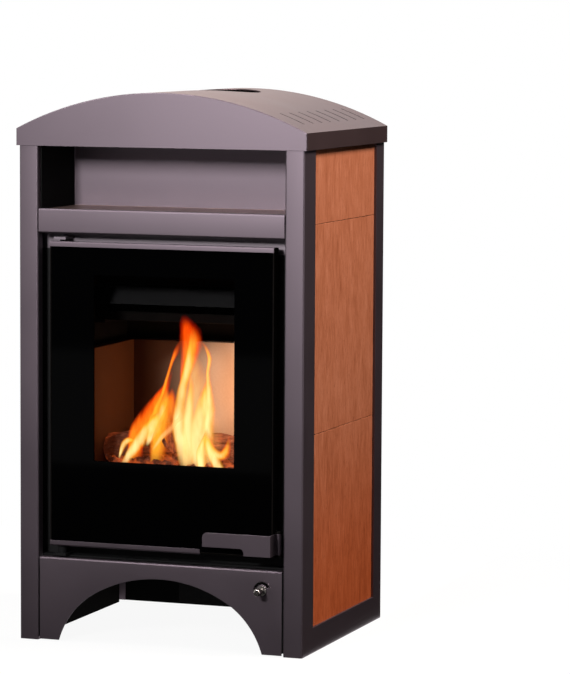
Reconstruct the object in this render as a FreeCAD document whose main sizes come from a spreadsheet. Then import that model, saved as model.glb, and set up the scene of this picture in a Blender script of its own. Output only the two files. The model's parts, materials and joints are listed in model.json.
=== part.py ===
"""A free-standing boiler stove with an arched steel cap, wood-grain side tiles and a full-width glass door.

Millimetres, +Z up, +Y towards the back, +X to the right of someone facing the door.
The origin is on the floor, under the middle of the whole object.
"""
import FreeCAD, Part
import math
import os
import Sketcher

Vector = FreeCAD.Vector
Rotation = FreeCAD.Rotation

# Driving dimensions in millimetres, except degrees for names that end in angle and plain counts
SIZES = {
    # casing of folded steel sheet
    "casing_width": 570,
    "casing_depth": 468,
    "casing_height": 940,
    "casing_sheet": 2,
    "bend_radius": 1.5,
    "post_face": 38,
    "post_return": 22,
    "rear_flange": 24,
    "panel_gap": 0.8,
    "panel_setback": 0.5,
    "side_front_strip": 62,
    "side_rear_strip": 48,
    "side_bottom_strip": 48,
    # wood-grain tiles and their carriers
    "tile_recess": 5,
    "tile_thickness": 8,
    "tile_overlap": 8,
    "tile_joint": 0.8,
    "lower_tile_top": 408,
    "upper_tile_height": 140,
    "tile_top_gap": 1,
    "carrier_foot": 16,
    "carrier_gap": 1.5,
    # arched cap and the deck that it stands on
    "cap_side_overhang": 5,
    "cap_front_overhang": 3,
    "cap_skirt": 32,
    "cap_rise": 70,
    "cap_flange": 18,
    "cap_edge_round": 1.5,
    "slot_count": 8,
    "slot_spacing": 50,
    "slot_first": 66,
    "slot_inset": 77,
    "slot_length": 47,
    "slot_width": 4,
    "deck_inset": 1,
    "deck_vent_width": 40,
    "deck_vent_length": 390,
    "deck_vent_setback": 50,
    "deck_vent_inset": 25,
    # shelf niche and its rail
    "niche_height": 120,
    "niche_depth": 170,
    "rail_lip": 2,
    "rail_height": 46,
    "rail_depth": 12,
    "shelf_gap": 1.5,
    # plinth with its arch
    "plinth_top": 160,
    "plinth_lift": 2,
    "plinth_flange": 18,
    "plinth_side_gap": 2.5,
    "plinth_angle_leg": 12,
    "plinth_angle_depth": 16,
    "plinth_angle_gap": 4,
    "arch_inset": 42,
    "arch_haunch_inset": 116,
    "arch_haunch_level": 96,
    "arch_crown": 131,
    # base
    "foot_thickness": 5,
    "foot_inset": 17,
    "foot_front": 40,
    "foot_rear": 440,
    "base_thickness": 3,
    "base_front": 24,
    "base_rear": 455,
    # rear cover
    "cover_sheet": 1.5,
    "cover_edge": 8,
    "vent_width": 4,
    "vent_length": 13,
    "vent_spacing": 9,
    "vent_side_count": 17,
    "vent_row_count": 19,
    "vent_side_inset": 91,
    "vent_side_bottom": 49,
    "vent_low_row": 14,
    "vent_high_row": 195,
    # boiler body of welded plate
    "boiler_plate": 4,
    "front_plate_setback": 46,
    "front_plate_inset": 27,
    "front_plate_drop": 20,
    "jacket_inset": 60,
    "jacket_rear": 440,
    "jacket_drop": 11,
    "hearth_level": 286,
    "water_way": 40,
    "firebox_rear": 291,
    "smoke_height": 141,
    "smoke_rear": 410,
    "crown_drop": 44,
    "fire_opening_inset": 20,
    "fire_opening_drop": 45,
    "ash_opening_inset": 35,
    "ash_opening_top": 268,
    # firebox fittings
    "hearth_thickness": 24,
    "lining_thickness": 25,
    "lining_drop": 49,
    "fit_gap": 0.5,
    "grate_width": 220,
    "grate_length": 160,
    "grate_thickness": 14,
    "grate_front": 90,
    "grate_rim": 10,
    "grate_slot_width": 9,
    "grate_slot_count": 9,
    "grate_slot_spacing": 20,
    "guard_height": 30,
    "guard_thickness": 8,
    "baffle_thickness": 18,
    "baffle_front": 130,
    "baffle_rest": 35,
    "ledge_width": 20,
    "ledge_thickness": 6,
    "deflector_lift": 36,
    "deflector_height": 30,
    "deflector_front": 80,
    "deflector_run": 34,
    "deflector_thickness": 3,
    "tube_diameter": 42,
    "tube_wall": 3,
    "tube_drop": 55,
    "tube_first": 190,
    "tube_spacing": 60,
    "tube_count": 4,
    # flue
    "flue_pipe": 150,
    "flue_fit": 0.3,
    "flue_wall": 3,
    "flue_setback": 316,
    "flue_step_drop": 15,
    "flue_socket": 60,
    "flue_stop": 4,
    "cap_flue_gap": 3,
    # ash box and pan
    "ash_floor": 200,
    "pan_sheet": 2,
    "pan_side_gap": 10,
    "pan_front": 58,
    "pan_length": 270,
    "pan_height": 56,
    "pan_grip": 30,
    "air_hole_diameter": 60,
    # door
    "door_side_gap": 22.5,
    "door_bottom": 182.5,
    "door_top_gap": 15,
    "trim_sheet": 1.5,
    "trim_height": 10,
    "trim_depth": 8.5,
    "trim_setback": 3.5,
    "bottom_trim_gap": 13,
    "rim_thickness": 2.5,
    "rim_depth": 25,
    "glass_thickness": 4,
    "glass_recess": 1,
    "glass_gap": 0.5,
    "pan_plate": 3,
    "window_inset": 74.5,
    "window_bottom": 342,
    "window_top_inset": 56,
    "gasket_inset": 42.5,
    "gasket_low": 197,
    "gasket_top_inset": 36,
    "gasket_groove": 12,
    "gasket_wall": 2,
    "gasket_block_rear": 38,
    "gasket_seat": 6,
    "gasket_clearance": 0.4,
    "gasket_side_gap": 0.3,
    # door hinge
    "hinge_inset": 19.5,
    "hinge_setback": 18,
    "hinge_pin": 8,
    "running_clearance": 0.05,
    "hinge_lug_width": 24,
    "hinge_lug_thickness": 5,
    "hinge_lug_front": 6,
    "hinge_boss": 17,
    "hinge_gap": 0.3,
    "hinge_top_gap": 3,
    "hinge_block": 20,
    # handle lever and latch
    "handle_sheet": 3,
    "handle_reach": 18,
    "handle_span": 131.5,
    "handle_bottom": 188,
    "handle_height": 40,
    "handle_arm": 27,
    "handle_notch": 82,
    "handle_notch_round": 8,
    "handle_tip_round": 10,
    "handle_edge_gap": 0.5,
    "handle_pin": 8,
    "handle_pin_setback": 20,
    "handle_barrel": 12,
    "handle_lug": 3.6,
    "handle_lug_gap": 0.4,
    "hook_height": 18,
    "hook_width": 6,
    "hook_reach": 41,
    "hook_nose": 6,
    "keeper_stud": 8,
    "keeper_clearance": 2.5,
    "keeper_setback": 31,
    "keeper_lug": 3,
    "keeper_margin": 3,
    "keeper_lug_width": 12,
    # air control
    "control_inset": 42,
    "control_level": 122.5,
    "knob_reach": 28,
    "knob_length": 18,
    "knob_diameter": 13,
    "knob_round": 2,
    "spindle_diameter": 8,
    "bush_barrel": 14,
    "bush_flange": 19,
    "bush_flange_thickness": 2,
    "bush_length": 6,
    "stop_radius": 14,
    "stop_pin": 3.6,
    "stop_slot_width": 5,
    "stop_slot_start_angle": 24,
    "stop_slot_sweep_angle": 166,
    "stop_arm_width": 7,
    "stop_arm_thickness": 2,
    "shutter_diameter": 60,
    "shutter_thickness": 2,
    "shutter_gap": 0.5,
    "shutter_port": 18,
    "shutter_port_radius": 18,
    # air box and rear air inlet
    "air_box_left": 90,
    "air_box_margin": 40,
    "air_box_front": 330,
    "air_box_rear": 432,
    "air_box_bottom": 28,
    "air_box_sheet": 1.5,
    "duct_diameter": 125,
    "duct_wall": 2,
    "duct_level": 96,
    "duct_reach": 85,
    "duct_start": 425,
    "duct_cover_gap": 1.5,
    "duct_end_relief": 1,
    "duct_end_gap": 2,
    "damper_position": 25,
    "damper_shaft": 8,
    "damper_blade_thickness": 2,
    "damper_clearance": 1.2,
    "damper_overhang": 3,
    "coupling_diameter": 14,
    "coupling_length": 8,
    # servo, bracket and lead
    "bracket_reach": 24,
    "bracket_sheet": 2,
    "bracket_height": 58,
    "bracket_width": 24,
    "servo_width": 20,
    "servo_height": 41,
    "servo_length": 38,
    "servo_nose": 8,
    "servo_ear_span": 55,
    "servo_ear_thickness": 2.5,
    "servo_fit": 0.3,
    "lead_diameter": 5,
    "lead_bend": 20,
    "lead_level": 24,
    "lead_inset": 7,
    "grommet_diameter": 13,
    "grommet_flange": 3,
    # bolts and sockets on the rear
    "bolt_flange": 18,
    "bolt_flange_thickness": 2,
    "bolt_hex": 15,
    "bolt_head": 6,
    "bolt_right": 140,
    "bolt_left": 85,
    "bolt_level": 118,
    "pipe_thread_bore": 30.3,
    "pipe_socket": 42,
    "cooling_thread_bore": 18.6,
    "cooling_socket": 27,
    "socket_reach": 45,
    "socket_inset": 60,
    "flow_drop": 44,
    "return_level": 335,
    "cooling_spacing": 60,
    "socket_hole_gap": 2,
}

document = FreeCAD.newDocument("boiler_stove")
sheet = document.addObject("Spreadsheet::Sheet", "Sizes")
for row, (alias, value) in enumerate(SIZES.items(), start=1):
    sheet.set("A%d" % row, alias)
    sheet.set("B%d" % row, str(value))
    sheet.setAlias("B%d" % row, alias)
document.recompute()


class Size:
    """A number together with the sheet formula that it comes from."""

    def __init__(self, number, formula):
        self.number = float(number)
        self.formula = formula

    def __add__(self, other):
        other = size(other)
        return Size(self.number + other.number, "(%s + %s)" % (self.formula, other.formula))

    def __sub__(self, other):
        other = size(other)
        return Size(self.number - other.number, "(%s - %s)" % (self.formula, other.formula))

    def __mul__(self, other):
        other = size(other)
        return Size(self.number * other.number, "(%s * %s)" % (self.formula, other.formula))

    def __truediv__(self, other):
        other = size(other)
        return Size(self.number / other.number, "(%s / %s)" % (self.formula, other.formula))

    def __radd__(self, other):
        return size(other) + self

    def __rsub__(self, other):
        return size(other) - self

    def __rmul__(self, other):
        return size(other) * self

    def __neg__(self):
        return Size(-self.number, "(-%s)" % self.formula)


def size(value):
    """A Size as it is, or a plain number as a Size."""
    if isinstance(value, Size):
        return value
    return Size(value, repr(float(value)))


class Sheet:
    """The sheet's cells by alias, each as a Size."""

    def __getattr__(self, alias):
        return Size(SIZES[alias], "Sizes." + alias)


S = Sheet()


def bind(thing, prop, value):
    """Tie one property of an object to a formula on the sheet."""
    thing.setExpression(prop, size(value).formula)


# Straight-sided and round primitives


def slab(name, x, y, z):
    """A rectangular block between two places along each axis."""
    block = document.addObject("Part::Box", name)
    for prop, axis, (low, high) in (("Length", "x", x), ("Width", "y", y), ("Height", "z", z)):
        bind(block, prop, size(high) - low)
        bind(block, "Placement.Base." + axis, low)
    return block


TURNS = {"X": Rotation(Vector(0, 1, 0), 90), "Y": Rotation(Vector(1, 0, 0), -90), "Z": Rotation()}


def rod(name, axis, diameter, start, length):
    """A cylinder that runs from a point along +X, +Y or +Z."""
    cylinder = document.addObject("Part::Cylinder", name)
    cylinder.Placement = FreeCAD.Placement(Vector(), TURNS[axis])
    bind(cylinder, "Radius", size(diameter) / 2)
    bind(cylinder, "Height", length)
    for letter, place in zip("xyz", start):
        bind(cylinder, "Placement.Base." + letter, place)
    return cylinder


def join(name, *pieces):
    """Several touching shapes as one solid."""
    fused = document.addObject("Part::MultiFuse", name)
    fused.Shapes = list(pieces)
    fused.Refine = True
    return fused


def cut(name, base, *tools):
    """One shape less the others."""
    tool = tools[0] if len(tools) == 1 else join(name + "_tools", *tools)
    remainder = document.addObject("Part::Cut", name)
    remainder.Base = base
    remainder.Tool = tool
    remainder.Refine = True
    return remainder


def group(name, *pieces):
    """Separate solids that share one node."""
    compound = document.addObject("Part::Compound", name)
    compound.Links = list(pieces)
    return compound


def mirrored(name, source):
    """The left-hand twin of a right-hand piece."""
    twin = document.addObject("Part::Mirroring", name)
    twin.Source = source
    twin.Base = Vector(0, 0, 0)
    twin.Normal = Vector(1, 0, 0)
    return twin


def tube(name, axis, outer, inner, start, length):
    """A round pipe that is open at both ends."""
    outside = rod(name + "_outer", axis, outer, start, length)
    bore = rod(name + "_bore", axis, inner, start, length)
    return cut(name, outside, bore)


# Sketched pieces


class Bow:
    """The end of a round stretch in an outline: it bulges to the left or right of its chord."""

    def __init__(self, u, v, radius, left):
        self.u = size(u)
        self.v = size(v)
        self.radius = size(radius)
        self.left = left


class Ring:
    """A full circle in an outline."""

    def __init__(self, u, v, diameter):
        self.u = size(u)
        self.v = size(v)
        self.radius = size(diameter) / 2


def rectangle(u0, u1, v0, v1):
    return [(u0, v0), (u1, v0), (u1, v1), (u0, v1)]


def origin_feature(body, role):
    return [feature for feature in body.Origin.OriginFeatures if feature.Role == role][0]


def hold(sketch, geometry, position, u, v):
    """Fix one point of a sketch at a place from the sheet."""
    for kind, place in (("DistanceX", u), ("DistanceY", v)):
        index = sketch.addConstraint(Sketcher.Constraint(kind, -1, 1, geometry, position, place.number))
        bind(sketch, "Constraints[%d]" % index, place)


def hold_radius(sketch, geometry, radius):
    index = sketch.addConstraint(Sketcher.Constraint("Radius", geometry, radius.number))
    bind(sketch, "Constraints[%d]" % index, radius)


def arc_between(start, end, radius, left):
    """The short arc from start to end, bulging to one side of its chord."""
    chord = end - start
    across = Vector(-chord.y, chord.x, 0).normalize()
    sag = math.sqrt(max(radius * radius - chord.Length * chord.Length / 4, 0))
    centre = (start + end) * 0.5 - across * (sag if left else -sag)
    first = math.atan2(start.y - centre.y, start.x - centre.x)
    last = math.atan2(end.y - centre.y, end.x - centre.x)
    if left:
        first, last = last, first
    if last < first:
        last += 2 * math.pi
    return Part.ArcOfCircle(Part.Circle(centre, Vector(0, 0, 1), radius), first, last)


def add_loop(sketch, loop):
    """One closed outline of straight and round stretches, fixed point by point."""
    if isinstance(loop, Ring):
        circle = Part.Circle(Vector(loop.u.number, loop.v.number, 0), Vector(0, 0, 1), loop.radius.number)
        geometry = sketch.addGeometry(circle)
        hold(sketch, geometry, 3, loop.u, loop.v)
        hold_radius(sketch, geometry, loop.radius)
        return
    stops = [stop if isinstance(stop, Bow) else (size(stop[0]), size(stop[1])) for stop in loop]
    places = [(stop.u, stop.v) if isinstance(stop, Bow) else stop for stop in stops]
    stretches = []
    for index, (u, v) in enumerate(places):
        start = Vector(u.number, v.number, 0)
        following = (index + 1) % len(places)
        end = Vector(places[following][0].number, places[following][1].number, 0)
        bow = stops[following]
        if isinstance(bow, Bow):
            geometry = sketch.addGeometry(arc_between(start, end, bow.radius.number, bow.left))
            hold_radius(sketch, geometry, bow.radius)
            stretches.append((geometry, 2, 1) if bow.left else (geometry, 1, 2))
        else:
            stretches.append((sketch.addGeometry(Part.LineSegment(start, end)), 1, 2))
    for index, (geometry, first, last) in enumerate(stretches):
        neighbour, neighbour_first, _ = stretches[(index + 1) % len(stretches)]
        sketch.addConstraint(Sketcher.Constraint("Coincident", geometry, last, neighbour, neighbour_first))
        hold(sketch, geometry, first, *places[index])


def draw(body, plane, offset, loops):
    """A sketch on one of the body's origin planes, moved along +X, +Y or +Z."""
    sketch = body.newObject("Sketcher::SketchObject", body.Label + "_outline")
    sketch.AttachmentSupport = [(origin_feature(body, plane + "_Plane"), "")]
    sketch.MapMode = "FlatFace"
    offset = size(offset)
    bind(sketch, "AttachmentOffset.Base.z", -offset if plane == "XZ" else offset)
    for loop in loops:
        add_loop(sketch, loop)
    return sketch


def new_body(name):
    return document.addObject("PartDesign::Body", name)


def pad(body, plane, offset, length, *loops):
    """Material from the plane's offset along the positive axis."""
    feature = body.newObject("PartDesign::Pad", body.Label + "_pad")
    feature.Profile = draw(body, plane, offset, loops)
    feature.Reversed = plane == "XZ"
    bind(feature, "Length", length)
    return feature


def carve(body, plane, offset, length, *loops):
    """A hollow from the plane's offset along the positive axis."""
    document.recompute()
    before = body.Shape.Volume
    feature = body.newObject("PartDesign::Pocket", body.Label + "_pocket")
    feature.Profile = draw(body, plane, offset, loops)
    feature.Reversed = plane != "XZ"
    bind(feature, "Length", length)
    document.recompute()
    if body.Shape.Volume >= before:
        raise RuntimeError("nothing was cut from " + body.Label)
    return feature


def repeat(body, feature, axis, pitch, count):
    """Equal steps of one feature along an axis."""
    pattern = body.newObject("PartDesign::LinearPattern", body.Label + "_row")
    pattern.Originals = [feature]
    pattern.Direction = (origin_feature(body, axis + "_Axis"), [""])
    bind(pattern, "Length", pitch * (count - 1))
    bind(pattern, "Occurrences", count)
    body.Tip = pattern
    return pattern


def round_edges(body, radius, wanted):
    """Fillet the edges that a test picks."""
    document.recompute()
    base = body.Tip
    names = ["Edge%d" % (index + 1) for index, edge in enumerate(base.Shape.Edges) if wanted(edge)]
    feature = body.newObject("PartDesign::Fillet", body.Label + "_round")
    feature.Base = (base, names)
    bind(feature, "Radius", radius)
    return feature


# Two places closer than this count as one
SAME_PLACE = 0.01


def near(place, other):
    return abs(place - size(other).number) < SAME_PLACE


def folded(path, thickness, left):
    """The outline of a sheet folded at right angles along a path, with the sheet on one side of it."""
    path = [(size(u), size(v)) for u, v in path]
    runs = []
    for (u0, v0), (u1, v1) in zip(path, path[1:]):
        du = u1.number - u0.number
        dv = v1.number - v0.number
        runs.append((round(du / max(abs(du), abs(dv))), round(dv / max(abs(du), abs(dv)))))
    side = 1 if left else -1
    near_face = []
    far_face = []
    for index, (u, v) in enumerate(path):
        before = runs[max(index - 1, 0)]
        after = runs[min(index, len(runs) - 1)]
        turn = before[0] * after[1] - before[1] * after[0]
        if turn == 0:
            near_face.append((u, v))
            far_face.append((u - thickness * (side * after[1]), v + thickness * (side * after[0])))
            continue
        inner = S.bend_radius
        outer = S.bend_radius + thickness
        inside = turn == side
        far_u = u - thickness * (side * (before[1] + after[1]))
        far_v = v + thickness * (side * (before[0] + after[0]))
        for face, (cu, cv), radius in (
            (near_face, (u, v), outer if inside else inner),
            (far_face, (far_u, far_v), inner if inside else outer),
        ):
            face.append((cu - radius * before[0], cv - radius * before[1]))
            face.append(Bow(cu + radius * after[0], cv + radius * after[1], radius, turn < 0))
    back = []
    for index in range(len(far_face) - 1, -1, -1):
        stop = far_face[index]
        place = (stop.u, stop.v) if isinstance(stop, Bow) else stop
        following = far_face[index + 1] if index + 1 < len(far_face) else None
        if isinstance(following, Bow):
            back.append(Bow(place[0], place[1], following.radius, not following.left))
        else:
            back.append(place)
    return near_face + back


# Places that many pieces share

HALF = S.casing_width / 2
FRONT = -(S.casing_depth + S.duct_reach - S.knob_reach) / 2
REAR = FRONT + S.casing_depth
POST_INNER = HALF - S.post_face
RAIL_HALF = POST_INNER - S.panel_gap
PLINTH_HALF = POST_INNER - S.plinth_side_gap
CAP_HALF = HALF + S.cap_side_overhang
DECK_TOP = S.casing_height + S.casing_sheet
MIDDLE_TILE_TOP = S.casing_height - S.upper_tile_height
SHELF_TOP = S.casing_height - S.niche_height
RAIL_TOP = SHELF_TOP + S.rail_lip
RAIL_BOTTOM = RAIL_TOP - S.rail_height
TILE_FACE = HALF - S.tile_recess
TILE_BACK = TILE_FACE - S.tile_thickness
WINDOW_FRONT = FRONT + S.side_front_strip
WINDOW_REAR = REAR - S.side_rear_strip
TILE_BOTTOM = S.side_bottom_strip - S.tile_overlap
FOOT_OUTER = HALF - S.foot_inset
BASE_TOP = S.plinth_top + S.base_thickness
PLATE_TOP = SHELF_TOP - S.front_plate_drop
JACKET_TOP = PLATE_TOP - S.jacket_drop
CROWN = JACKET_TOP - S.crown_drop
FIRE_OPENING_TOP = CROWN - S.fire_opening_drop
SMOKE_SHELF = CROWN - S.smoke_height
TUBE_LEVEL = CROWN - S.tube_drop
FLOW_LEVEL = JACKET_TOP - S.flow_drop
PLATE_FRONT = FRONT + S.front_plate_setback
BOILER_FRONT = PLATE_FRONT + S.boiler_plate
FIREBOX_REAR = FRONT + S.firebox_rear
SMOKE_REAR = FRONT + S.smoke_rear
JACKET_HALF = HALF - S.jacket_inset
FIREBOX_HALF = JACKET_HALF - S.water_way
FIRE_OPENING_HALF = FIREBOX_HALF - S.fire_opening_inset
ASH_OPENING_HALF = FIREBOX_HALF - S.ash_opening_inset
JACKET_REAR = FRONT + S.jacket_rear
HEARTH_TOP = S.hearth_level + S.hearth_thickness
ASH_FLOOR_TOP = S.ash_floor + S.boiler_plate
FLUE_Y = FRONT + S.flue_setback
FLUE_STEP = S.casing_height - S.flue_step_drop
FLUE_BORE = S.flue_pipe + S.flue_fit * 2
FLUE_OUTER = FLUE_BORE + S.flue_wall * 2
FLUE_NECK = FLUE_BORE - S.flue_stop * 2
DOOR_HALF = POST_INNER - S.door_side_gap
DOOR_TOP = RAIL_BOTTOM - S.door_top_gap
RIM_FRONT = FRONT + S.trim_setback + S.trim_sheet
GLASS_FRONT = RIM_FRONT + S.glass_recess
GLASS_REAR = GLASS_FRONT + S.glass_thickness
PAN_REAR = GLASS_REAR + S.pan_plate
RIM_BOTTOM = S.door_bottom + S.trim_sheet
RIM_TOP = DOOR_TOP - S.trim_sheet
HINGE_X = S.hinge_inset - DOOR_HALF
HINGE_Y = FRONT + S.hinge_setback
HANDLE_FRONT = FRONT - S.handle_reach
HANDLE_LEFT = DOOR_HALF - S.handle_span
HANDLE_FLANGE = DOOR_HALF + S.handle_edge_gap
HANDLE_TOP = S.handle_bottom + S.handle_height
HANDLE_LUG_BOTTOM = S.handle_bottom - S.handle_lug_gap - S.handle_lug
HANDLE_PIN_X = HANDLE_FLANGE + S.handle_barrel / 2
HANDLE_PIN_Y = FRONT + S.handle_pin_setback
HOOK_BOTTOM = S.handle_bottom + (S.handle_height - S.hook_height) / 2
HOOK_NOSE_X = HANDLE_PIN_X + S.hook_width / 2 + S.hook_nose
CONTROL_X = POST_INNER - S.control_inset
PLINTH_FACE = FRONT + S.panel_setback
PLINTH_BACK = PLINTH_FACE + S.casing_sheet
BUSH_END = PLINTH_BACK + S.bush_length
STOP_ARM_FRONT = BUSH_END + S.shutter_gap
AIR_BOX_FRONT = FRONT + S.air_box_front
AIR_BOX_REAR = FRONT + S.air_box_rear
DUCT_INNER = S.duct_diameter - S.duct_wall * 2
DUCT_END = REAR + S.duct_reach
DAMPER_Y = REAR + S.damper_position
COVER_BACK = REAR + S.cover_sheet
BRACKET_WEB = S.duct_diameter / 2 + S.bracket_reach
SERVO_EAR = BRACKET_WEB + S.bracket_sheet
SERVO_FRONT = BRACKET_WEB - S.servo_nose
SERVO_END = SERVO_FRONT + S.servo_length
LEAD_X = SERVO_END - S.lead_inset
SOCKET_X = JACKET_HALF - S.socket_inset

PIECES = []


def keep(name, shape):
    """Name a finished piece."""
    shape.Label = name
    PIECES.append(shape)
    return shape


# Casing


def build_side_frames():
    body = new_body("side_frame_right")
    path = [
        (POST_INNER, FRONT + S.post_return),
        (POST_INNER, FRONT),
        (HALF, FRONT),
        (HALF, REAR),
        (HALF - S.rear_flange, REAR),
    ]
    pad(body, "XY", 0, S.casing_height, folded(path, S.casing_sheet, left=True))
    window = rectangle(WINDOW_FRONT, WINDOW_REAR, S.side_bottom_strip, S.casing_height + S.casing_sheet)
    carve(body, "YZ", HALF - S.casing_sheet * 2, S.casing_sheet * 3, window)
    turned_edge = [
        (WINDOW_FRONT - S.casing_sheet, S.casing_height),
        (WINDOW_FRONT - S.casing_sheet, S.side_bottom_strip - S.casing_sheet),
        (WINDOW_REAR + S.casing_sheet, S.side_bottom_strip - S.casing_sheet),
        (WINDOW_REAR + S.casing_sheet, S.casing_height),
        (WINDOW_REAR, S.casing_height),
        (WINDOW_REAR, S.side_bottom_strip),
        (WINDOW_FRONT, S.side_bottom_strip),
        (WINDOW_FRONT, S.casing_height),
    ]
    pad(body, "YZ", TILE_FACE, S.tile_recess - S.casing_sheet, turned_edge)
    keep("side_frame_right", body)
    keep("side_frame_left", mirrored("side_frame_left", body))


def build_tiles():
    tile_top = S.casing_height - S.tile_top_gap
    levels = {
        "lower": (TILE_BOTTOM, S.lower_tile_top),
        "middle": (S.lower_tile_top + S.tile_joint, MIDDLE_TILE_TOP),
        "upper": (MIDDLE_TILE_TOP + S.tile_joint, tile_top),
    }
    depth = (WINDOW_FRONT - S.tile_overlap, WINDOW_REAR + S.tile_overlap)
    for level, height in levels.items():
        keep("right_tile_" + level, slab("right_tile_" + level, (TILE_BACK, TILE_FACE), depth, height))
        keep("left_tile_" + level, slab("left_tile_" + level, (-TILE_FACE, -TILE_BACK), depth, height))


def build_tile_carriers():
    body = new_body("tile_carrier_right")
    wall = HALF - S.casing_sheet
    heel = TILE_BACK - S.casing_sheet
    front_web = WINDOW_FRONT - S.tile_overlap - S.carrier_gap - S.casing_sheet
    rear_web = WINDOW_REAR + S.tile_overlap + S.carrier_gap + S.casing_sheet
    ledge_bottom = TILE_BOTTOM - S.casing_sheet
    height = S.casing_height - S.tile_top_gap - ledge_bottom
    pad(body, "XY", ledge_bottom, S.casing_sheet, rectangle(heel, wall, front_web, rear_web))
    front_path = [(wall, front_web), (heel, front_web), (heel, front_web + S.carrier_foot)]
    rear_path = [(wall, rear_web), (heel, rear_web), (heel, rear_web - S.carrier_foot)]
    pad(body, "XY", ledge_bottom, height, folded(front_path, S.casing_sheet, left=False))
    pad(body, "XY", ledge_bottom, height, folded(rear_path, S.casing_sheet, left=True))
    keep("tile_carrier_right", body)
    keep("tile_carrier_left", mirrored("tile_carrier_left", body))


def arch_radius(half_width, rise):
    """Radius of the circle through both springing points and the crown."""
    return (half_width * half_width + rise * rise) / (rise * 2)


def cap_outline(half_width, bottom, spring):
    return [
        (-half_width, bottom),
        (half_width, bottom),
        (half_width, spring),
        Bow(-half_width, spring, arch_radius(half_width, S.cap_rise), left=False),
    ]


def build_top_cover():
    body = new_body("top_cover")
    front = FRONT - S.cap_front_overhang
    depth = S.casing_depth + S.cap_front_overhang * 2
    spring = S.casing_height + S.cap_skirt
    pad(body, "XZ", front, depth, cap_outline(CAP_HALF, S.casing_height, spring))
    sheet_metal = S.casing_sheet
    inside = cap_outline(CAP_HALF - sheet_metal, S.casing_height - sheet_metal, spring - sheet_metal)
    carve(body, "XZ", front + sheet_metal, depth - sheet_metal * 2, inside)
    wall = CAP_HALF - sheet_metal / 2
    flange_ends = (front + S.casing_sheet / 2, front + depth - S.casing_sheet / 2)
    pad(body, "XY", DECK_TOP, S.casing_sheet, rectangle(CAP_HALF - S.cap_flange, wall, *flange_ends))
    pad(body, "XY", DECK_TOP, S.casing_sheet, rectangle(-wall, S.cap_flange - CAP_HALF, *flange_ends))
    flue_hole = Ring(0, FLUE_Y, S.flue_pipe + S.cap_flue_gap * 2)
    carve(body, "XY", spring, S.cap_rise * 2, flue_hole)
    slot_near = FRONT + S.slot_first - S.slot_width / 2
    slot_far = slot_near + S.slot_width
    slot_inner = CAP_HALF - S.slot_inset
    slot_outer = slot_inner + S.slot_length
    slots = carve(
        body,
        "XY",
        spring,
        S.cap_rise * 2,
        rectangle(slot_inner, slot_outer, slot_near, slot_far),
        rectangle(-slot_outer, -slot_inner, slot_near, slot_far),
    )
    repeat(body, slots, "Y", S.slot_spacing, S.slot_count)

    def on_rim(edge):
        """Picks the edges of the two end faces, except their bottom edges."""
        box = edge.BoundBox
        on_end_face = near(box.YLength, 0) and (near(box.YMin, front) or near(box.YMin, front + depth))
        return on_end_face and not near(box.ZMax, S.casing_height)

    round_edges(body, S.cap_edge_round, on_rim)
    keep("top_cover", body)


def build_top_deck():
    body = new_body("top_deck")
    half = HALF - S.deck_inset
    vent_outer = HALF - S.deck_vent_inset
    vent_inner = vent_outer - S.deck_vent_width
    vent_near = FRONT + S.deck_vent_setback
    vent_far = vent_near + S.deck_vent_length
    pad(
        body,
        "XY",
        S.casing_height,
        S.casing_sheet,
        rectangle(-half, half, FRONT + S.deck_inset, REAR - S.deck_inset),
        Ring(0, FLUE_Y, FLUE_OUTER + S.cap_flue_gap * 2),
        rectangle(vent_inner, vent_outer, vent_near, vent_far),
        rectangle(-vent_outer, -vent_inner, vent_near, vent_far),
    )
    keep("top_deck", body)


def build_niche():
    body = new_body("niche_liner")
    front = FRONT + S.panel_setback + S.rail_depth + S.shelf_gap
    back = FRONT + S.niche_depth + S.casing_sheet
    bottom = SHELF_TOP - S.casing_sheet
    walls = [(-POST_INNER, front), (-POST_INNER, back), (POST_INNER, back), (POST_INNER, front)]
    pad(body, "XY", bottom, S.casing_height - bottom, folded(walls, S.casing_sheet, left=False))
    inset = S.casing_sheet / 2
    floor = rectangle(inset - POST_INNER, POST_INNER - inset, front, back - inset)
    pad(body, "XY", bottom, S.casing_sheet, floor)
    keep("niche_liner", body)

    rail = new_body("niche_rail")
    face = FRONT + S.panel_setback
    path = [
        (face + S.rail_depth, RAIL_TOP),
        (face, RAIL_TOP),
        (face, RAIL_BOTTOM),
        (face + S.rail_depth, RAIL_BOTTOM),
    ]
    pad(rail, "YZ", -RAIL_HALF, RAIL_HALF * 2, folded(path, S.casing_sheet, left=True))
    keep("niche_rail", rail)


def build_plinth():
    body = new_body("plinth_sheet")
    path = [
        (PLINTH_FACE + S.plinth_flange, S.plinth_top),
        (PLINTH_FACE, S.plinth_top),
        (PLINTH_FACE, S.plinth_lift),
    ]
    pad(body, "YZ", -PLINTH_HALF, PLINTH_HALF * 2, folded(path, S.casing_sheet, left=True))
    carve(body, "XZ", PLINTH_FACE - S.casing_sheet, S.casing_sheet * 3, plinth_arch())
    bush_hole = Ring(CONTROL_X, S.control_level, S.bush_barrel)
    carve(body, "XZ", PLINTH_FACE - S.casing_sheet, S.casing_sheet * 3, bush_hole)
    keep("plinth_panel", cut("plinth_panel", body, arc_slot()))


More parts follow.
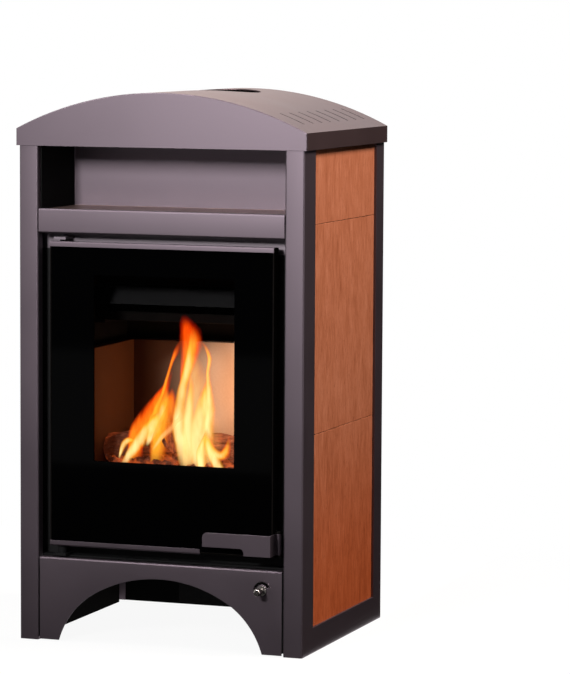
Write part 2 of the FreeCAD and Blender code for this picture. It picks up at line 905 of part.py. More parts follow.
def plinth_arch():
    """A three-centred arch: a flat crown that runs into steeper sides without a corner."""
    foot = POST_INNER - S.arch_inset
    haunch = POST_INNER - S.arch_haunch_inset
    rise = S.arch_crown - S.arch_haunch_level
    crown_radius = arch_radius(haunch, rise)
    across = foot - haunch
    down = S.arch_haunch_level - S.plinth_lift
    lean = down * (crown_radius - rise) - across * haunch
    side_radius = crown_radius * (across * across + down * down) / (lean * 2)
    return [
        (-foot, S.plinth_lift - S.casing_sheet),
        (foot, S.plinth_lift - S.casing_sheet),
        (foot, S.plinth_lift),
        Bow(haunch, S.arch_haunch_level, side_radius, left=False),
        Bow(-haunch, S.arch_haunch_level, crown_radius, left=False),
        Bow(-foot, S.plinth_lift, side_radius, left=False),
    ]


def build_plinth_angles():
    body = new_body("plinth_angle_right")
    path = [
        (PLINTH_HALF - S.plinth_angle_leg, PLINTH_BACK),
        (POST_INNER, PLINTH_BACK),
        (POST_INNER, PLINTH_BACK + S.plinth_angle_depth),
    ]
    bottom = S.plinth_lift + S.plinth_angle_gap
    top = S.plinth_top - S.casing_sheet - S.plinth_angle_gap
    pad(body, "XY", bottom, top - bottom, folded(path, S.casing_sheet, left=True))
    keep("plinth_angles", group("plinth_angles", mirrored("plinth_angle_left", body), body))


def arc_slot():
    """The cutter for the curved slot that the stop pin travels in."""
    start = (CONTROL_X, PLINTH_BACK + S.casing_sheet, S.control_level)
    turn = Rotation(Vector(1, 0, 0), 90).multiply(Rotation(Vector(0, 0, 1), SIZES["stop_slot_start_angle"]))
    sectors = []
    for name, diameter in (
        ("stop_slot_outer", S.stop_radius * 2 + S.stop_slot_width),
        ("stop_slot_inner", S.stop_radius * 2 - S.stop_slot_width),
    ):
        sector = rod(name, "Y", diameter, start, S.casing_sheet * 3)
        sector.Placement = FreeCAD.Placement(Vector(), turn)
        bind(sector, "Angle", S.stop_slot_sweep_angle)
        sectors.append(sector)
    return cut("stop_slot", *sectors)


def build_base():
    span = (FRONT + S.foot_front, FRONT + S.foot_rear)
    right = slab("foot_right", (FOOT_OUTER - S.foot_thickness, FOOT_OUTER), span, (0, S.plinth_top))
    left = slab("foot_left", (-FOOT_OUTER, S.foot_thickness - FOOT_OUTER), span, (0, S.plinth_top))
    keep("foot_plates", group("foot_plates", left, right))
    body = new_body("base_plate")
    pad(
        body,
        "XY",
        S.plinth_top,
        S.base_thickness,
        rectangle(-FOOT_OUTER, FOOT_OUTER, FRONT + S.base_front, FRONT + S.base_rear),
        Ring(0, (AIR_BOX_FRONT + AIR_BOX_REAR) / 2, S.air_hole_diameter),
    )
    keep("base_plate", body)


def socket_places():
    """Centre, outer diameter and bore of each water socket, by kind."""
    pipes = [(-SOCKET_X, FLOW_LEVEL), (-SOCKET_X, S.return_level)]
    cooling = [(SOCKET_X, FLOW_LEVEL - S.cooling_spacing * step) for step in range(3)]
    return {
        "pipe": (pipes, S.pipe_socket, S.pipe_thread_bore),
        "cooling": (cooling, S.cooling_socket, S.cooling_thread_bore),
    }


def build_rear_cover():
    body = new_body("rear_cover")
    half = HALF - S.cover_edge
    loops = [rectangle(-half, half, 0, S.casing_height - S.tile_top_gap)]
    loops.append(Ring(0, S.duct_level, S.duct_diameter + S.duct_cover_gap * 2))
    loops.append(Ring(LEAD_X, S.lead_level, S.grommet_diameter))
    for places, outer, _ in socket_places().values():
        for x, z in places:
            loops.append(Ring(x, z, outer + S.socket_hole_gap * 2))
    pad(body, "XZ", REAR, S.cover_sheet, *loops)
    vent_inner = HALF - S.vent_side_inset
    vent_outer = vent_inner + S.vent_length
    vent_height = (S.vent_side_bottom, S.vent_side_bottom + S.vent_width)
    side_rows = carve(
        body,
        "XZ",
        REAR,
        S.cover_sheet,
        rectangle(vent_inner, vent_outer, *vent_height),
        rectangle(-vent_outer, -vent_inner, *vent_height),
    )
    repeat(body, side_rows, "Z", S.vent_spacing, S.vent_side_count)
    start = -S.vent_spacing * (S.vent_row_count - 1) / 2 - S.vent_width / 2
    cross_rows = carve(
        body,
        "XZ",
        REAR,
        S.cover_sheet,
        rectangle(start, start + S.vent_width, S.vent_low_row, S.vent_low_row + S.vent_length),
        rectangle(start, start + S.vent_width, S.vent_high_row, S.vent_high_row + S.vent_length),
    )
    repeat(body, cross_rows, "X", S.vent_spacing, S.vent_row_count)
    keep("rear_cover", body)


# Boiler body


def build_front_plate():
    body = new_body("front_plate")
    half = HALF - S.front_plate_inset
    pad(
        body,
        "XZ",
        PLATE_FRONT,
        S.boiler_plate,
        rectangle(-half, half, BASE_TOP, PLATE_TOP),
        rectangle(-FIRE_OPENING_HALF, FIRE_OPENING_HALF, HEARTH_TOP, FIRE_OPENING_TOP),
        rectangle(-ASH_OPENING_HALF, ASH_OPENING_HALF, ASH_FLOOR_TOP, S.ash_opening_top),
    )
    keep("front_plate", body)


def build_firebox_shell():
    body = new_body("firebox_shell")
    wall = S.boiler_plate
    outer_half = FIREBOX_HALF + wall
    top = CROWN + wall
    outside = [
        (BOILER_FRONT, S.hearth_level),
        (FIREBOX_REAR + wall, S.hearth_level),
        (FIREBOX_REAR + wall, SMOKE_SHELF - wall),
        (SMOKE_REAR + wall, SMOKE_SHELF - wall),
        (SMOKE_REAR + wall, top),
        (BOILER_FRONT, top),
    ]
    inside = [
        (BOILER_FRONT - wall, S.hearth_level - wall),
        (FIREBOX_REAR, S.hearth_level - wall),
        (FIREBOX_REAR, SMOKE_SHELF),
        (SMOKE_REAR, SMOKE_SHELF),
        (SMOKE_REAR, CROWN),
        (BOILER_FRONT - wall, CROWN),
    ]
    pad(body, "YZ", -outer_half, outer_half * 2, outside)
    carve(body, "YZ", -FIREBOX_HALF, FIREBOX_HALF * 2, inside)
    carve(body, "XY", CROWN - wall, wall * 3, Ring(0, FLUE_Y, FLUE_NECK))
    tube_hole = Ring(FRONT + S.tube_first, TUBE_LEVEL, S.tube_diameter)
    holes = carve(body, "YZ", -outer_half - wall, (outer_half + wall) * 2, tube_hole)
    repeat(body, holes, "Y", S.tube_spacing, S.tube_count)
    ledge_low = SMOKE_SHELF - S.ledge_thickness
    ledge_near = FRONT + S.baffle_front
    ledge_inner = FIREBOX_HALF - S.ledge_width
    for inner, outer in ((ledge_inner, FIREBOX_HALF), (-FIREBOX_HALF, -ledge_inner)):
        pad(body, "XY", ledge_low, S.ledge_thickness, rectangle(inner, outer, ledge_near, FIREBOX_REAR))
    keep("firebox_shell", body)


def build_water_jacket():
    body = new_body("water_jacket")
    wall = S.boiler_plate
    outer = rectangle(-JACKET_HALF, JACKET_HALF, BOILER_FRONT, JACKET_REAR)
    pad(body, "XY", S.hearth_level, JACKET_TOP - S.hearth_level, outer)
    inner_half = JACKET_HALF - wall
    hollow = rectangle(-inner_half, inner_half, BOILER_FRONT - wall, JACKET_REAR - wall)
    carve(body, "XY", S.hearth_level + wall, JACKET_TOP - S.hearth_level - wall * 2, hollow)
    opening_half = FIREBOX_HALF + wall
    opening = rectangle(-opening_half, opening_half, BOILER_FRONT - wall, FIREBOX_REAR + wall)
    carve(body, "XY", S.hearth_level - wall, wall * 2, opening)
    carve(body, "XY", JACKET_TOP - wall * 2, wall * 3, Ring(0, FLUE_Y, FLUE_OUTER))
    ports = []
    for places, _, bore in socket_places().values():
        ports.extend(Ring(x, z, bore - S.socket_hole_gap * 2) for x, z in places)
    carve(body, "XZ", JACKET_REAR - wall, wall, *ports)
    keep("water_jacket", body)


def build_exchanger_tubes():
    start_x = -FIREBOX_HALF - S.boiler_plate
    length = (FIREBOX_HALF + S.boiler_plate) * 2
    tubes = []
    for index in range(SIZES["tube_count"]):
        start = (start_x, FRONT + S.tube_first + S.tube_spacing * index, TUBE_LEVEL)
        inner = S.tube_diameter - S.tube_wall * 2
        tubes.append(tube("exchanger_tube_%d" % index, "X", S.tube_diameter, inner, start, length))
    keep("exchanger_tubes", group("exchanger_tubes", *tubes))


def build_flue_collar():
    start = CROWN + S.boiler_plate
    end = FLUE_STEP + S.flue_socket
    outside = rod("flue_collar_outer", "Z", FLUE_OUTER, (0, FLUE_Y, start), end - start)
    neck = rod("flue_collar_neck", "Z", FLUE_NECK, (0, FLUE_Y, start), end - start)
    socket = rod("flue_collar_socket", "Z", FLUE_BORE, (0, FLUE_Y, FLUE_STEP), S.flue_socket)
    keep("flue_collar", cut("flue_collar", outside, neck, socket))


# Firebox fittings


def build_linings():
    inner = FIREBOX_HALF - S.lining_thickness
    outer = FIREBOX_HALF - S.fit_gap
    front = BOILER_FRONT + S.fit_gap
    back = FIREBOX_REAR - S.lining_thickness
    height = (HEARTH_TOP, SMOKE_SHELF - S.lining_drop)
    keep("lining_right", slab("lining_right", (inner, outer), (front, back), height))
    keep("lining_left", slab("lining_left", (-outer, -inner), (front, back), height))
    keep("lining_back", slab("lining_back", (-outer, outer), (back, FIREBOX_REAR - S.fit_gap), height))

    hearth = new_body("hearth_plate")
    half = S.grate_width / 2 + S.fit_gap
    grate_near = FRONT + S.grate_front - S.fit_gap
    grate_far = FRONT + S.grate_front + S.grate_length + S.fit_gap
    pad(
        hearth,
        "XY",
        S.hearth_level,
        S.hearth_thickness,
        rectangle(-outer, outer, front, FIREBOX_REAR - S.fit_gap),
        rectangle(-half, half, grate_near, grate_far),
    )
    keep("hearth_plate", hearth)


def build_grate():
    body = new_body("grate")
    half = S.grate_width / 2
    near_edge = FRONT + S.grate_front
    far_edge = near_edge + S.grate_length
    pad(body, "XY", S.hearth_level, S.grate_thickness, rectangle(-half, half, near_edge, far_edge))
    start = -S.grate_slot_spacing * (S.grate_slot_count - 1) / 2 - S.grate_slot_width / 2
    slot_ends = (near_edge + S.grate_rim * 2, far_edge - S.grate_rim * 2)
    slot = rectangle(start, start + S.grate_slot_width, *slot_ends)
    slots = carve(body, "XY", S.hearth_level, S.grate_thickness, slot)
    repeat(body, slots, "X", S.grate_slot_spacing, S.grate_slot_count)
    keep("grate", body)


def build_firebox_fittings():
    inner = FIREBOX_HALF - S.lining_thickness - S.fit_gap
    guard_front = BOILER_FRONT + S.fit_gap
    guard = slab(
        "log_guard",
        (-inner, inner),
        (guard_front, guard_front + S.guard_thickness),
        (HEARTH_TOP, HEARTH_TOP + S.guard_height),
    )
    keep("log_guard", guard)
    baffle_half = FIREBOX_HALF - S.fit_gap
    baffle = slab(
        "flue_baffle",
        (-baffle_half, baffle_half),
        (FRONT + S.baffle_front, FIREBOX_REAR + S.baffle_rest),
        (SMOKE_SHELF, SMOKE_SHELF + S.baffle_thickness),
    )
    keep("flue_baffle", baffle)
    deflector = new_body("smoke_deflector")
    low_y = FRONT + S.deflector_front
    high_y = low_y + S.deflector_run
    low_z = SMOKE_SHELF + S.deflector_lift
    high_z = low_z + S.deflector_height
    strip = [
        (low_y, low_z),
        (low_y + S.deflector_thickness, low_z),
        (high_y + S.deflector_thickness, high_z),
        (high_y, high_z),
    ]
    pad(deflector, "YZ", -FIREBOX_HALF, FIREBOX_HALF * 2, strip)
    keep("smoke_deflector", deflector)


def build_ash_box():
    body = new_body("ash_box")
    wall = S.boiler_plate
    outer_half = FIREBOX_HALF + wall
    outer = rectangle(-outer_half, outer_half, BOILER_FRONT, SMOKE_REAR + wall)
    pad(body, "XY", BASE_TOP, S.hearth_level - BASE_TOP, outer)
    inside = rectangle(-FIREBOX_HALF, FIREBOX_HALF, BOILER_FRONT - wall, SMOKE_REAR)
    carve(body, "XY", ASH_FLOOR_TOP, S.hearth_level - wall - ASH_FLOOR_TOP, inside)
    plenum = rectangle(-FIREBOX_HALF, FIREBOX_HALF, BOILER_FRONT + wall, SMOKE_REAR)
    carve(body, "XY", BASE_TOP - wall, S.ash_floor - BASE_TOP + wall, plenum)
    half = S.grate_width / 2 - S.grate_rim
    grate_near = FRONT + S.grate_front + S.grate_rim
    grate_far = FRONT + S.grate_front + S.grate_length - S.grate_rim
    carve(body, "XY", S.hearth_level - wall * 2, wall * 3, rectangle(-half, half, grate_near, grate_far))
    air_hole = Ring(0, (AIR_BOX_FRONT + AIR_BOX_REAR) / 2, S.air_hole_diameter)
    carve(body, "XY", S.ash_floor - wall, wall * 3, air_hole)
    keep("ash_box", body)

    pan = new_body("ash_pan")
    pan_half = ASH_OPENING_HALF - S.pan_side_gap
    pan_near = FRONT + S.pan_front
    pan_far = pan_near + S.pan_length
    pad(pan, "XY", ASH_FLOOR_TOP, S.pan_height, rectangle(-pan_half, pan_half, pan_near, pan_far))
    inner_half = pan_half - S.pan_sheet
    hollow = rectangle(-inner_half, inner_half, pan_near + S.pan_sheet, pan_far - S.pan_sheet)
    carve(pan, "XY", ASH_FLOOR_TOP + S.pan_sheet, S.pan_height, hollow)
    grip_top = ASH_FLOOR_TOP + S.pan_height
    grip = [
        (pan_near, grip_top),
        (PLATE_FRONT, grip_top),
        (PLATE_FRONT, grip_top - S.pan_grip / 2),
        (PLATE_FRONT + S.pan_sheet, grip_top - S.pan_grip / 2),
        (PLATE_FRONT + S.pan_sheet, grip_top - S.pan_sheet),
        (pan_near, grip_top - S.pan_sheet),
    ]
    pad(pan, "YZ", -S.pan_grip, S.pan_grip * 2, grip)
    keep("ash_pan", pan)


# Door


def build_door_frame():
    body = new_body("door_frame")
    outer = rectangle(-DOOR_HALF, DOOR_HALF, RIM_BOTTOM, RIM_TOP)
    inner_half = DOOR_HALF - S.rim_thickness
    inner = rectangle(-inner_half, inner_half, RIM_BOTTOM + S.rim_thickness, RIM_TOP - S.rim_thickness)
    window_half = DOOR_HALF - S.window_inset
    window = rectangle(-window_half, window_half, S.window_bottom, DOOR_TOP - S.window_top_inset)
    pad(body, "XZ", GLASS_REAR, S.pan_plate, outer, window)
    pad(body, "XZ", RIM_FRONT, S.rim_depth, outer, inner)
    block_rear = FRONT + S.gasket_block_rear
    groove = S.gasket_groove / 2
    block = groove + S.gasket_wall
    pad(body, "XZ", PAN_REAR, block_rear - PAN_REAR, gasket_loop(block), gasket_loop(-block))
    carve(body, "XZ", block_rear - S.gasket_seat, S.gasket_seat, gasket_loop(groove), gasket_loop(-groove))
    lug_half = S.hinge_lug_width / 2
    hinge = rectangle(HINGE_X - lug_half, HINGE_X + lug_half, PAN_REAR, RIM_FRONT + S.rim_depth)
    pin_hole = Ring(HINGE_X, HINGE_Y, S.hinge_pin + S.running_clearance * 2)
    for bottom in (RIM_BOTTOM, RIM_TOP - S.hinge_block):
        pad(body, "XY", bottom, S.hinge_block, hinge)
        carve(body, "XY", bottom, S.hinge_block, pin_hole)
    bend_room = [
        rectangle(RIM_FRONT, RIM_FRONT + S.bend_radius, low, low + S.bend_radius)
        for low in (RIM_BOTTOM, RIM_TOP - S.bend_radius)
    ]
    carve(body, "YZ", -DOOR_HALF, DOOR_HALF * 2, *bend_room)
    reach = S.handle_barrel / 2 + S.handle_lug_gap
    lug_depth = (HANDLE_PIN_Y - reach, HANDLE_PIN_Y + reach)
    lug_inner = DOOR_HALF - S.rim_thickness
    strap_height = S.handle_height + (S.handle_lug_gap + S.handle_lug) * 2
    pad(body, "XY", HANDLE_LUG_BOTTOM, strap_height, rectangle(lug_inner, DOOR_HALF, *lug_depth))
    lug = rectangle(lug_inner, HANDLE_PIN_X + S.handle_barrel / 2, *lug_depth)
    for bottom in (HANDLE_LUG_BOTTOM, HANDLE_TOP + S.handle_lug_gap):
        pad(body, "XY", bottom, S.handle_lug, lug)
        carve(body, "XY", bottom, S.handle_lug, Ring(HANDLE_PIN_X, HANDLE_PIN_Y, S.handle_pin))
    keep("door_frame", body)


def gasket_loop(offset):
    """The gasket's rectangle on the door's back, moved outwards by an offset."""
    half = DOOR_HALF - S.gasket_inset + offset
    return rectangle(-half, half, S.gasket_low - offset, DOOR_TOP - S.gasket_top_inset + offset)


def build_door_fittings():
    glass_half = DOOR_HALF - S.rim_thickness - S.glass_gap
    inset = S.rim_thickness + S.glass_gap
    glass = slab(
        "door_glass",
        (-glass_half, glass_half),
        (GLASS_FRONT, GLASS_REAR),
        (RIM_BOTTOM + inset, RIM_TOP - inset),
    )
    keep("door_glass", glass)

    trim_front = FRONT + S.trim_setback
    top_path = [
        (trim_front, DOOR_TOP - S.trim_height),
        (trim_front, DOOR_TOP),
        (trim_front + S.trim_depth, DOOR_TOP),
    ]
    top = new_body("door_top_trim")
    pad(top, "YZ", -DOOR_HALF, DOOR_HALF * 2, folded(top_path, S.trim_sheet, left=False))
    keep("door_top_trim", top)
    bottom_path = [
        (trim_front, S.door_bottom + S.trim_height),
        (trim_front, S.door_bottom),
        (trim_front + S.trim_depth, S.door_bottom),
    ]
    bottom = new_body("door_bottom_trim")
    bottom_length = DOOR_HALF + HANDLE_LEFT - S.bottom_trim_gap
    pad(bottom, "YZ", -DOOR_HALF, bottom_length, folded(bottom_path, S.trim_sheet, left=True))
    keep("door_bottom_trim", bottom)

    gasket = new_body("door_gasket")
    groove = S.gasket_groove / 2 - S.gasket_side_gap
    seat = FRONT + S.gasket_block_rear - S.gasket_seat
    pad(
        gasket,
        "XZ",
        seat,
        PLATE_FRONT - S.gasket_clearance - seat,
        gasket_loop(groove),
        gasket_loop(-groove),
    )
    keep("door_gasket", gasket)


def build_hinges():
    lug_half = S.hinge_lug_width / 2
    width = (HINGE_X - lug_half, HINGE_X + lug_half)
    depth = (FRONT + S.hinge_lug_front, PLATE_FRONT)
    low_top = BASE_TOP + S.hinge_lug_thickness
    boss_top = S.door_bottom - S.hinge_gap
    high_bottom = DOOR_TOP + S.hinge_top_gap
    high_top = high_bottom + S.hinge_lug_thickness
    low_pin = (HINGE_X, HINGE_Y, BASE_TOP)
    high_pin = (HINGE_X, HINGE_Y, RIM_TOP - S.hinge_block + S.hinge_gap)
    low_end = RIM_BOTTOM + S.hinge_block - S.hinge_gap
    boss = rod("hinge_boss_low", "Z", S.hinge_boss, low_pin, boss_top - BASE_TOP)
    low_lug = join("hinge_lug_low", slab("hinge_lug_low_plate", width, depth, (BASE_TOP, low_top)), boss)
    low_hole = rod("hinge_hole_low", "Z", S.hinge_pin, low_pin, low_end - BASE_TOP)
    high_lug = slab("hinge_lug_high", width, depth, (high_bottom, high_top))
    high_hole = rod("hinge_hole_high", "Z", S.hinge_pin, high_pin, high_top - high_pin[2])
    brackets = group(
        "hinge_brackets",
        cut("hinge_bracket_low", low_lug, low_hole),
        cut("hinge_bracket_high", high_lug, high_hole),
    )
    keep("hinge_brackets", brackets)
    pins = group(
        "hinge_pins",
        rod("hinge_pin_low", "Z", S.hinge_pin, low_pin, low_end - BASE_TOP),
        rod("hinge_pin_high", "Z", S.hinge_pin, high_pin, high_top - high_pin[2]),
    )
    keep("hinge_pins", pins)


# Handle and latch


def build_handle():
    body = new_body("door_handle")
    right = HANDLE_FLANGE + S.handle_sheet
    arm_bottom = HANDLE_TOP - S.handle_arm
    notch_end = HANDLE_LEFT + S.handle_notch
    plate = [
        (notch_end, S.handle_bottom),
        (right, S.handle_bottom),
        (right, HANDLE_TOP),
        (HANDLE_LEFT + S.handle_tip_round, HANDLE_TOP),
        Bow(HANDLE_LEFT, HANDLE_TOP - S.handle_tip_round, S.handle_tip_round, left=False),
        (HANDLE_LEFT, arm_bottom),
        (notch_end - S.handle_notch_round, arm_bottom),
        Bow(notch_end, arm_bottom - S.handle_notch_round, S.handle_notch_round, left=True),
    ]
    pad(body, "XZ", HANDLE_FRONT, S.handle_sheet, plate)
    flange = rectangle(HANDLE_FLANGE, right, HANDLE_FRONT, HANDLE_PIN_Y)
    pad(body, "XY", S.handle_bottom, S.handle_height, flange)
    pad(body, "XY", S.handle_bottom, S.handle_height, Ring(HANDLE_PIN_X, HANDLE_PIN_Y, S.handle_barrel))
    bore = Ring(HANDLE_PIN_X, HANDLE_PIN_Y, S.handle_pin + S.running_clearance * 2)
    carve(body, "XY", S.handle_bottom, S.handle_height, bore)
    keep("door_handle", body)

    pin_length = S.handle_height + (S.handle_lug_gap + S.handle_lug) * 2
    pin = rod("handle_pin", "Z", S.handle_pin, (HANDLE_PIN_X, HANDLE_PIN_Y, HANDLE_LUG_BOTTOM), pin_length)
    keep("handle_pin", pin)

    hook = new_body("latch_hook_blank")
    left = HANDLE_PIN_X - S.hook_width / 2
    right = HANDLE_PIN_X + S.hook_width / 2
    back = FRONT + S.hook_reach
    outline = [
        (left, HANDLE_PIN_Y),
        (right, HANDLE_PIN_Y),
        (right, back - S.hook_width),
        (HOOK_NOSE_X, back - S.hook_width),
        (HOOK_NOSE_X, back),
        (left, back),
    ]
    pad(hook, "XY", HOOK_BOTTOM, S.hook_height, outline)
    seat = rod(
        "latch_hook_seat",
        "Z",
        S.handle_barrel,
        (HANDLE_PIN_X, HANDLE_PIN_Y, S.handle_bottom),
        S.handle_height,
    )
    keep("latch_hook", cut("latch_hook", hook, seat))


def build_latch_keeper():
    stud_x = HOOK_NOSE_X + S.keeper_clearance + S.keeper_stud / 2
    stud_y = FRONT + S.keeper_setback
    low = HOOK_BOTTOM - S.keeper_margin
    high = HOOK_BOTTOM + S.hook_height + S.keeper_margin
    width = (stud_x - S.keeper_lug_width / 2, stud_x + S.keeper_lug_width / 2)
    depth = (stud_y - S.keeper_stud / 2 - S.keeper_lug, PLATE_FRONT)
    keeper = join(
        "latch_keeper",
        slab("keeper_lug_low", width, depth, (low - S.keeper_lug, low)),
        slab("keeper_lug_high", width, depth, (high, high + S.keeper_lug)),
        rod("keeper_stud", "Z", S.keeper_stud, (stud_x, stud_y, low), high - low),
    )
    keep("latch_keeper", keeper)


# Air control


def build_air_control():
    axis = (CONTROL_X, S.control_level)
    spindle_end = AIR_BOX_FRONT + S.air_box_sheet * 2
    tip = FRONT - S.knob_reach
    knob_back = tip + S.knob_length
    knob = new_body("control_knob_blank")
    radius = S.knob_diameter / 2
    waist = S.spindle_diameter / 2 + S.knob_round
    profile = [
        (axis[0], tip),
        (axis[0] + radius - S.knob_round, tip),
        Bow(axis[0] + radius, tip + S.knob_round, S.knob_round, left=False),
        (axis[0] + radius, knob_back - S.knob_length / 2),
        (axis[0] + waist, knob_back),
        (axis[0], knob_back),
    ]
    turned = knob.newObject("PartDesign::Revolution", "control_knob_turned")
    sketch = draw(knob, "XY", axis[1], [profile])
    turned.Profile = sketch
    turned.ReferenceAxis = (sketch, ["Edge6"])
    turned.Angle = 360
    bore_start = (axis[0], tip + S.knob_length / 2, axis[1])
    spindle_bore = rod("control_knob_bore", "Y", S.spindle_diameter, bore_start, S.knob_length)
    keep("control_knob", cut("control_knob", knob, spindle_bore))

    spindle = rod(
        "spindle_rod",
        "Y",
        S.spindle_diameter,
        bore_start,
        spindle_end - bore_start[1],
    )
    arm = slab(
        "stop_arm",
        (axis[0] - S.stop_radius - S.stop_arm_width / 2, axis[0]),
        (STOP_ARM_FRONT, STOP_ARM_FRONT + S.stop_arm_thickness),
        (axis[1] - S.stop_arm_width / 2, axis[1] + S.stop_arm_width / 2),
    )
    stop_pin = rod(
        "stop_pin",
        "Y",
        S.stop_pin,
        (axis[0] - S.stop_radius, PLINTH_FACE, axis[1]),
        STOP_ARM_FRONT + S.stop_arm_thickness - PLINTH_FACE,
    )
    keep("control_spindle", join("control_spindle", spindle, arm, stop_pin))

    flange_start = PLINTH_FACE - S.bush_flange_thickness
    bush_bore = S.spindle_diameter + S.running_clearance * 2
    flange_place = (axis[0], flange_start, axis[1])
    flange = rod("bush_flange", "Y", S.bush_flange, flange_place, S.bush_flange_thickness)
    barrel = rod("bush_barrel", "Y", S.bush_barrel, (axis[0], PLINTH_FACE, axis[1]), BUSH_END - PLINTH_FACE)
    bore = rod("bush_bore", "Y", bush_bore, flange_place, BUSH_END - flange_start)
    keep("spindle_bush", cut("spindle_bush", join("bush_blank", flange, barrel), bore))

    shutter = new_body("air_shutter")
    shutter_front = AIR_BOX_FRONT - S.shutter_gap - S.shutter_thickness
    pad(
        shutter,
        "XZ",
        shutter_front,
        S.shutter_thickness,
        Ring(*axis, S.shutter_diameter),
        Ring(*axis, S.spindle_diameter),
        Ring(axis[0] - S.shutter_port_radius, axis[1], S.shutter_port),
        Ring(axis[0] + S.shutter_port_radius, axis[1], S.shutter_port),
    )
    keep("air_shutter", shutter)


def build_air_box():
    body = new_body("air_box")
    wall = S.air_box_sheet
    left = -S.air_box_left
    right = CONTROL_X + S.air_box_margin
    outer = rectangle(left, right, AIR_BOX_FRONT, AIR_BOX_REAR)
    inner = rectangle(left + wall, right - wall, AIR_BOX_FRONT + wall, AIR_BOX_REAR - wall)
    height = S.plinth_top - S.air_box_bottom
    pad(body, "XY", S.air_box_bottom, height, outer)
    carve(body, "XY", S.air_box_bottom + wall, height, inner)
    carve(
        body,
        "XZ",
        AIR_BOX_FRONT,
        wall,
        Ring(CONTROL_X, S.control_level, S.spindle_diameter + S.running_clearance * 2),
        Ring(CONTROL_X - S.shutter_port_radius, S.control_level, S.shutter_port),
        Ring(CONTROL_X + S.shutter_port_radius, S.control_level, S.shutter_port),
    )
    carve(body, "XZ", AIR_BOX_REAR - wall, wall, Ring(0, S.duct_level, S.duct_diameter))
    keep("air_box", body)


# Rear air inlet with its damper and servo


def build_air_inlet():
    start = FRONT + S.duct_start
    neck_start = DAMPER_Y + S.bracket_width / 2 + S.duct_end_gap
    neck_diameter = S.duct_diameter - S.duct_end_relief * 2
    pipe = join(
        "duct_pipe",
        rod("duct_root", "Y", S.duct_diameter, (0, start, S.duct_level), neck_start - start),
        rod("duct_neck", "Y", neck_diameter, (0, neck_start, S.duct_level), DUCT_END - neck_start),
    )
    bore = rod("duct_bore", "Y", DUCT_INNER, (0, start, S.duct_level), DUCT_END - start)
    shaft_hole = S.damper_shaft + S.running_clearance * 2
    crossing = rod(
        "duct_shaft_hole",
        "X",
        shaft_hole,
        (-S.duct_diameter, DAMPER_Y, S.duct_level),
        S.duct_diameter * 2,
    )
    keep("air_inlet_duct", cut("air_inlet_duct", pipe, bore, crossing))

    shaft_start = -S.duct_diameter / 2 - S.damper_overhang
    coupling_start = SERVO_FRONT - S.servo_fit - S.coupling_length
    axle = rod(
        "damper_axle",
        "X",
        S.damper_shaft,
        (shaft_start, DAMPER_Y, S.duct_level),
        coupling_start + S.coupling_length / 2 - shaft_start,
    )
    coupling = rod(
        "damper_coupling",
        "X",
        S.coupling_diameter,
        (coupling_start, DAMPER_Y, S.duct_level),
        S.coupling_length,
    )
    blade_diameter = DUCT_INNER - S.damper_clearance * 2
    blade_low = S.duct_level - S.damper_blade_thickness / 2
    slit = slab(
        "damper_slit",
        (-blade_diameter / 2, blade_diameter / 2),
        (DAMPER_Y - S.damper_shaft, DAMPER_Y + S.damper_shaft),
        (blade_low, blade_low + S.damper_blade_thickness),
    )
    keep("damper_shaft", cut("damper_shaft", join("damper_axle_coupled", axle, coupling), slit))
    blade = rod("damper_blade", "Z", blade_diameter, (0, DAMPER_Y, blade_low), S.damper_blade_thickness)
    keep("damper_blade", blade)


def build_servo():
    half = S.bracket_height / 2
    depth = S.bracket_width
    near_side = DAMPER_Y - depth / 2
    bracket = new_body("servo_bracket_blank")
    path = [
        (S.duct_diameter / 4, S.duct_level - half),
        (SERVO_EAR, S.duct_level - half),
        (SERVO_EAR, S.duct_level + half),
        (S.duct_diameter / 4, S.duct_level + half),
    ]
    pad(bracket, "XZ", near_side, depth, folded(path, S.bracket_sheet, left=True))
    room_half = S.servo_height / 2 + S.servo_fit
    room_depth = S.servo_width / 2 + S.servo_fit
    room = rectangle(
        DAMPER_Y - room_depth,
        DAMPER_Y + room_depth,
        S.duct_level - room_half,
        S.duct_level + room_half,
    )
    carve(bracket, "YZ", BRACKET_WEB - S.bracket_sheet, S.bracket_sheet * 3, room)
    start = FRONT + S.duct_start
    pipe_room = rod("bracket_pipe_room", "Y", S.duct_diameter, (0, start, S.duct_level), DUCT_END - start)
    keep("servo_bracket", cut("servo_bracket", bracket, pipe_room))

    body = slab(
        "servo_case",
        (SERVO_FRONT, SERVO_END),
        (DAMPER_Y - S.servo_width / 2, DAMPER_Y + S.servo_width / 2),
        (S.duct_level - S.servo_height / 2, S.duct_level + S.servo_height / 2),
    )
    ears = slab(
        "servo_ears",
        (SERVO_EAR, SERVO_EAR + S.servo_ear_thickness),
        (DAMPER_Y - S.servo_width / 2, DAMPER_Y + S.servo_width / 2),
        (S.duct_level - S.servo_ear_span / 2, S.duct_level + S.servo_ear_span / 2),
    )
    keep("servo_motor", join("servo_motor", body, ears))


